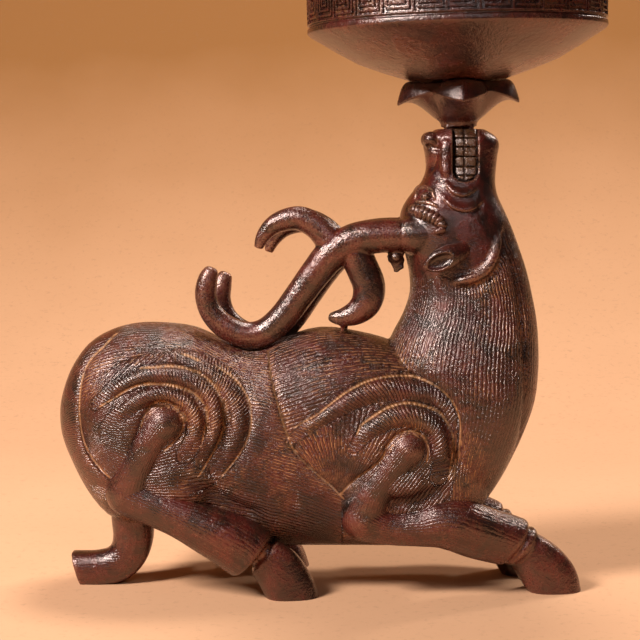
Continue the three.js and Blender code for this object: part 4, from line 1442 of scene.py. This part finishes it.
def cove_material():
    """Warm pale paper with painted shade: darker higher up and to the left."""
    material, tree, shader = new_material("warm_paper_painted_shade", PAPER)
    where = tree.nodes.new("ShaderNodeTexCoord").outputs["Object"]
    parts = tree.nodes.new("ShaderNodeSeparateXYZ")
    tree.links.new(where, parts.inputs[0])
    # Painted shade: the paper turns towards the darker wall colour higher up and to the left
    height = calculate(tree, "MULTIPLY_ADD", parts.outputs["X"], COVE_PAINTED_SHADE["lean"], parts.outputs["Z"])
    cloud = noise_field(tree, where, 9, 4)
    height = calculate(tree, "MULTIPLY_ADD", cloud, COVE_PAINTED_SHADE["cloud"], height)
    fade = spread(tree, height, COVE_PAINTED_SHADE["low"], COVE_PAINTED_SHADE["high"])
    colour = mix_colour(tree, fade, PALE_FLOOR, PAINTED_SHADE_WALL)
    speck = spread(tree, noise_field(tree, where, 300, 5, 0.7), 0.56, 0.72)
    colour = mix_colour(tree, product(tree, speck, 0.32), colour, SPECK)
    tree.links.new(colour, shader.inputs["Base Color"])
    # The paper is clear from behind and from below, so that the object shows from there too
    behind = tree.nodes.new("ShaderNodeNewGeometry").outputs["Backfacing"]
    tree.links.new(calculate(tree, "SUBTRACT", 1, behind), shader.inputs["Alpha"])
    return material


def cove():
    """A floor that curves up behind the object."""
    depth = COVE["bend"] - COVE["near"]
    obj = add(bpy.ops.mesh.primitive_plane_add, size=1)
    obj.name = "cove"
    middle = Matrix.Translation((0, (COVE["bend"] + COVE["near"]) / 2, 0))
    obj.data.transform(middle @ Matrix.Diagonal((2 * COVE["half"], depth, 1, 1)))
    bpy.ops.object.mode_set(mode="EDIT")
    bpy.ops.mesh.select_all(action="DESELECT")
    mesh = bmesh.from_edit_mesh(obj.data)
    for edge in mesh.edges:
        edge.select_set(all(vert.co.y > COVE["bend"] - MM for vert in edge.verts))
    bmesh.update_edit_mesh(obj.data)
    turns = [math.pi / 2 * (i + 1) / COVE["steps"] for i in range(COVE["steps"])]
    places = [(math.sin(turn) * COVE["radius"], (1 - math.cos(turn)) * COVE["radius"]) for turn in turns]
    places.append((COVE["radius"], COVE["height"]))
    before = (0, 0)
    for place in places:
        shift = (0, place[0] - before[0], place[1] - before[1])
        bpy.ops.mesh.extrude_edges_move(TRANSFORM_OT_translate={"value": shift})
        before = place
    bpy.ops.object.mode_set(mode="OBJECT")
    pick_only(obj)
    bpy.ops.object.shade_smooth()
    obj.data.materials.append(cove_material())


# Lamps: place, the point that each faces, size, power, colour
LAMPS = {
    "key": ((-0.72, -0.58, 0.76), (0, 0, 0.1), 0.26, 19, (1, 0.95, 0.93)),
    "side": ((0.8, 0.75, 0.75), (0, 0.05, 0), 0.16, 4, (1, 0.93, 0.86)),
    "fill": ((0.12, -1, 0.75), (0, 0, 0.1), 0.2, 1.2, (0.95, 0.93, 1)),
    "top": ((0.1, 0.3, 1.1), (0, 0.1, 0), 0.3, 8, (1, 0.95, 0.9)),
}
SOFT_LIGHT = {"colour": (1.0, 0.92, 0.84, 1), "strength": 0.03}


def lamp(name, place, target, size, power, colour):
    light = bpy.data.lights.new(name, "AREA")
    light.size = size
    light.energy = power
    light.color = colour
    obj = bpy.data.objects.new(name, light)
    obj.location = place
    obj.rotation_euler = (Vector(target) - Vector(place)).to_track_quat("-Z", "Y").to_euler()
    bpy.context.collection.objects.link(obj)


def studio():
    cove()
    world = bpy.data.worlds.new("studio")
    bpy.context.scene.world = world
    world.use_nodes = True
    soft = world.node_tree.nodes["Background"]
    soft.inputs["Color"].default_value = SOFT_LIGHT["colour"]
    soft.inputs["Strength"].default_value = SOFT_LIGHT["strength"]
    for name, values in LAMPS.items():
        lamp(name, *values)


def camera():
    view = bpy.data.cameras.new("camera")
    view.lens = CAMERA_LENS
    view.clip_start = 0.01
    obj = bpy.data.objects.new("camera", view)
    obj.location = CAMERA_PLACE
    obj.rotation_euler = Vector(CAMERA_LOOK).to_track_quat("-Z", "Y").to_euler()
    bpy.context.collection.objects.link(obj)
    bpy.context.scene.camera = obj
    bpy.context.scene.view_settings.view_transform = "Standard"


# Assembly

camera()
studio()
group = cast_bronze_group()
hide_bronze = bronze("hide_bronze", group, red=0.8, ochre=0.75, wear=0.8, seam=0.9)
leg_bronze = bronze("leg_bronze", group, red=0.8, ochre=0.4, wear=0.7, hair=0.32)
horn_bronze = bronze("horn_bronze", group, red=0.9, ochre=0.3, wear=1.3, hair=0)
bowl_bronze = bronze("bowl_bronze", group, red=0.6, ochre=0.4, wear=0.2, hair=0)
stem_bronze = bronze("stem_bronze", group, red=0.3, ochre=0.5, wear=0.2, hair=0)
rock_bronze = bronze("rock_bronze", group, red=0.5, ochre=0.6, wear=0.9, hair=1)
fitting_bronze = bronze("fitting_bronze", group, red=0.3, ochre=0.3, wear=0.6, hair=0)

whole = carved_body()
dress(trunk(whole), "trunk_casting", "beast", hide_bronze)
dress(neck_and_head(whole), "neck_and_head_casting", "beast", hide_bronze)
bpy.data.objects.remove(whole)
dress(tail("tail_curl"), "tail", "beast", leg_bronze)
for word, side in (("right", -1), ("left", 1)):
    dress(antler(f"antler_{word}_horn", side), f"antler_{word}", "beast", horn_bronze)
    dress(ear(f"ear_{word}_leaf", side), f"ear_{word}", "beast", leg_bronze)
    for place, kind in LEGS.items():
        limb_name = f"{place}_leg_{word}"
        dress(leg(f"{limb_name}_limb", kind, side), limb_name, "beast", leg_bronze)
dress(calyx_stem("petalled_stem"), "calyx_stem", "bowl_unit", stem_bronze)
dress(bowl("fretted_bowl"), "bowl", "bowl_unit", bowl_bronze)
dress(lid_mountain("hill_lid"), "lid_mountain", "lid", rock_bronze)
for name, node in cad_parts.items():
    if name.startswith("belly_plate") or name.startswith("bowl_rivet"):
        node.data.materials.clear()
        node.data.materials.append(fitting_bronze)
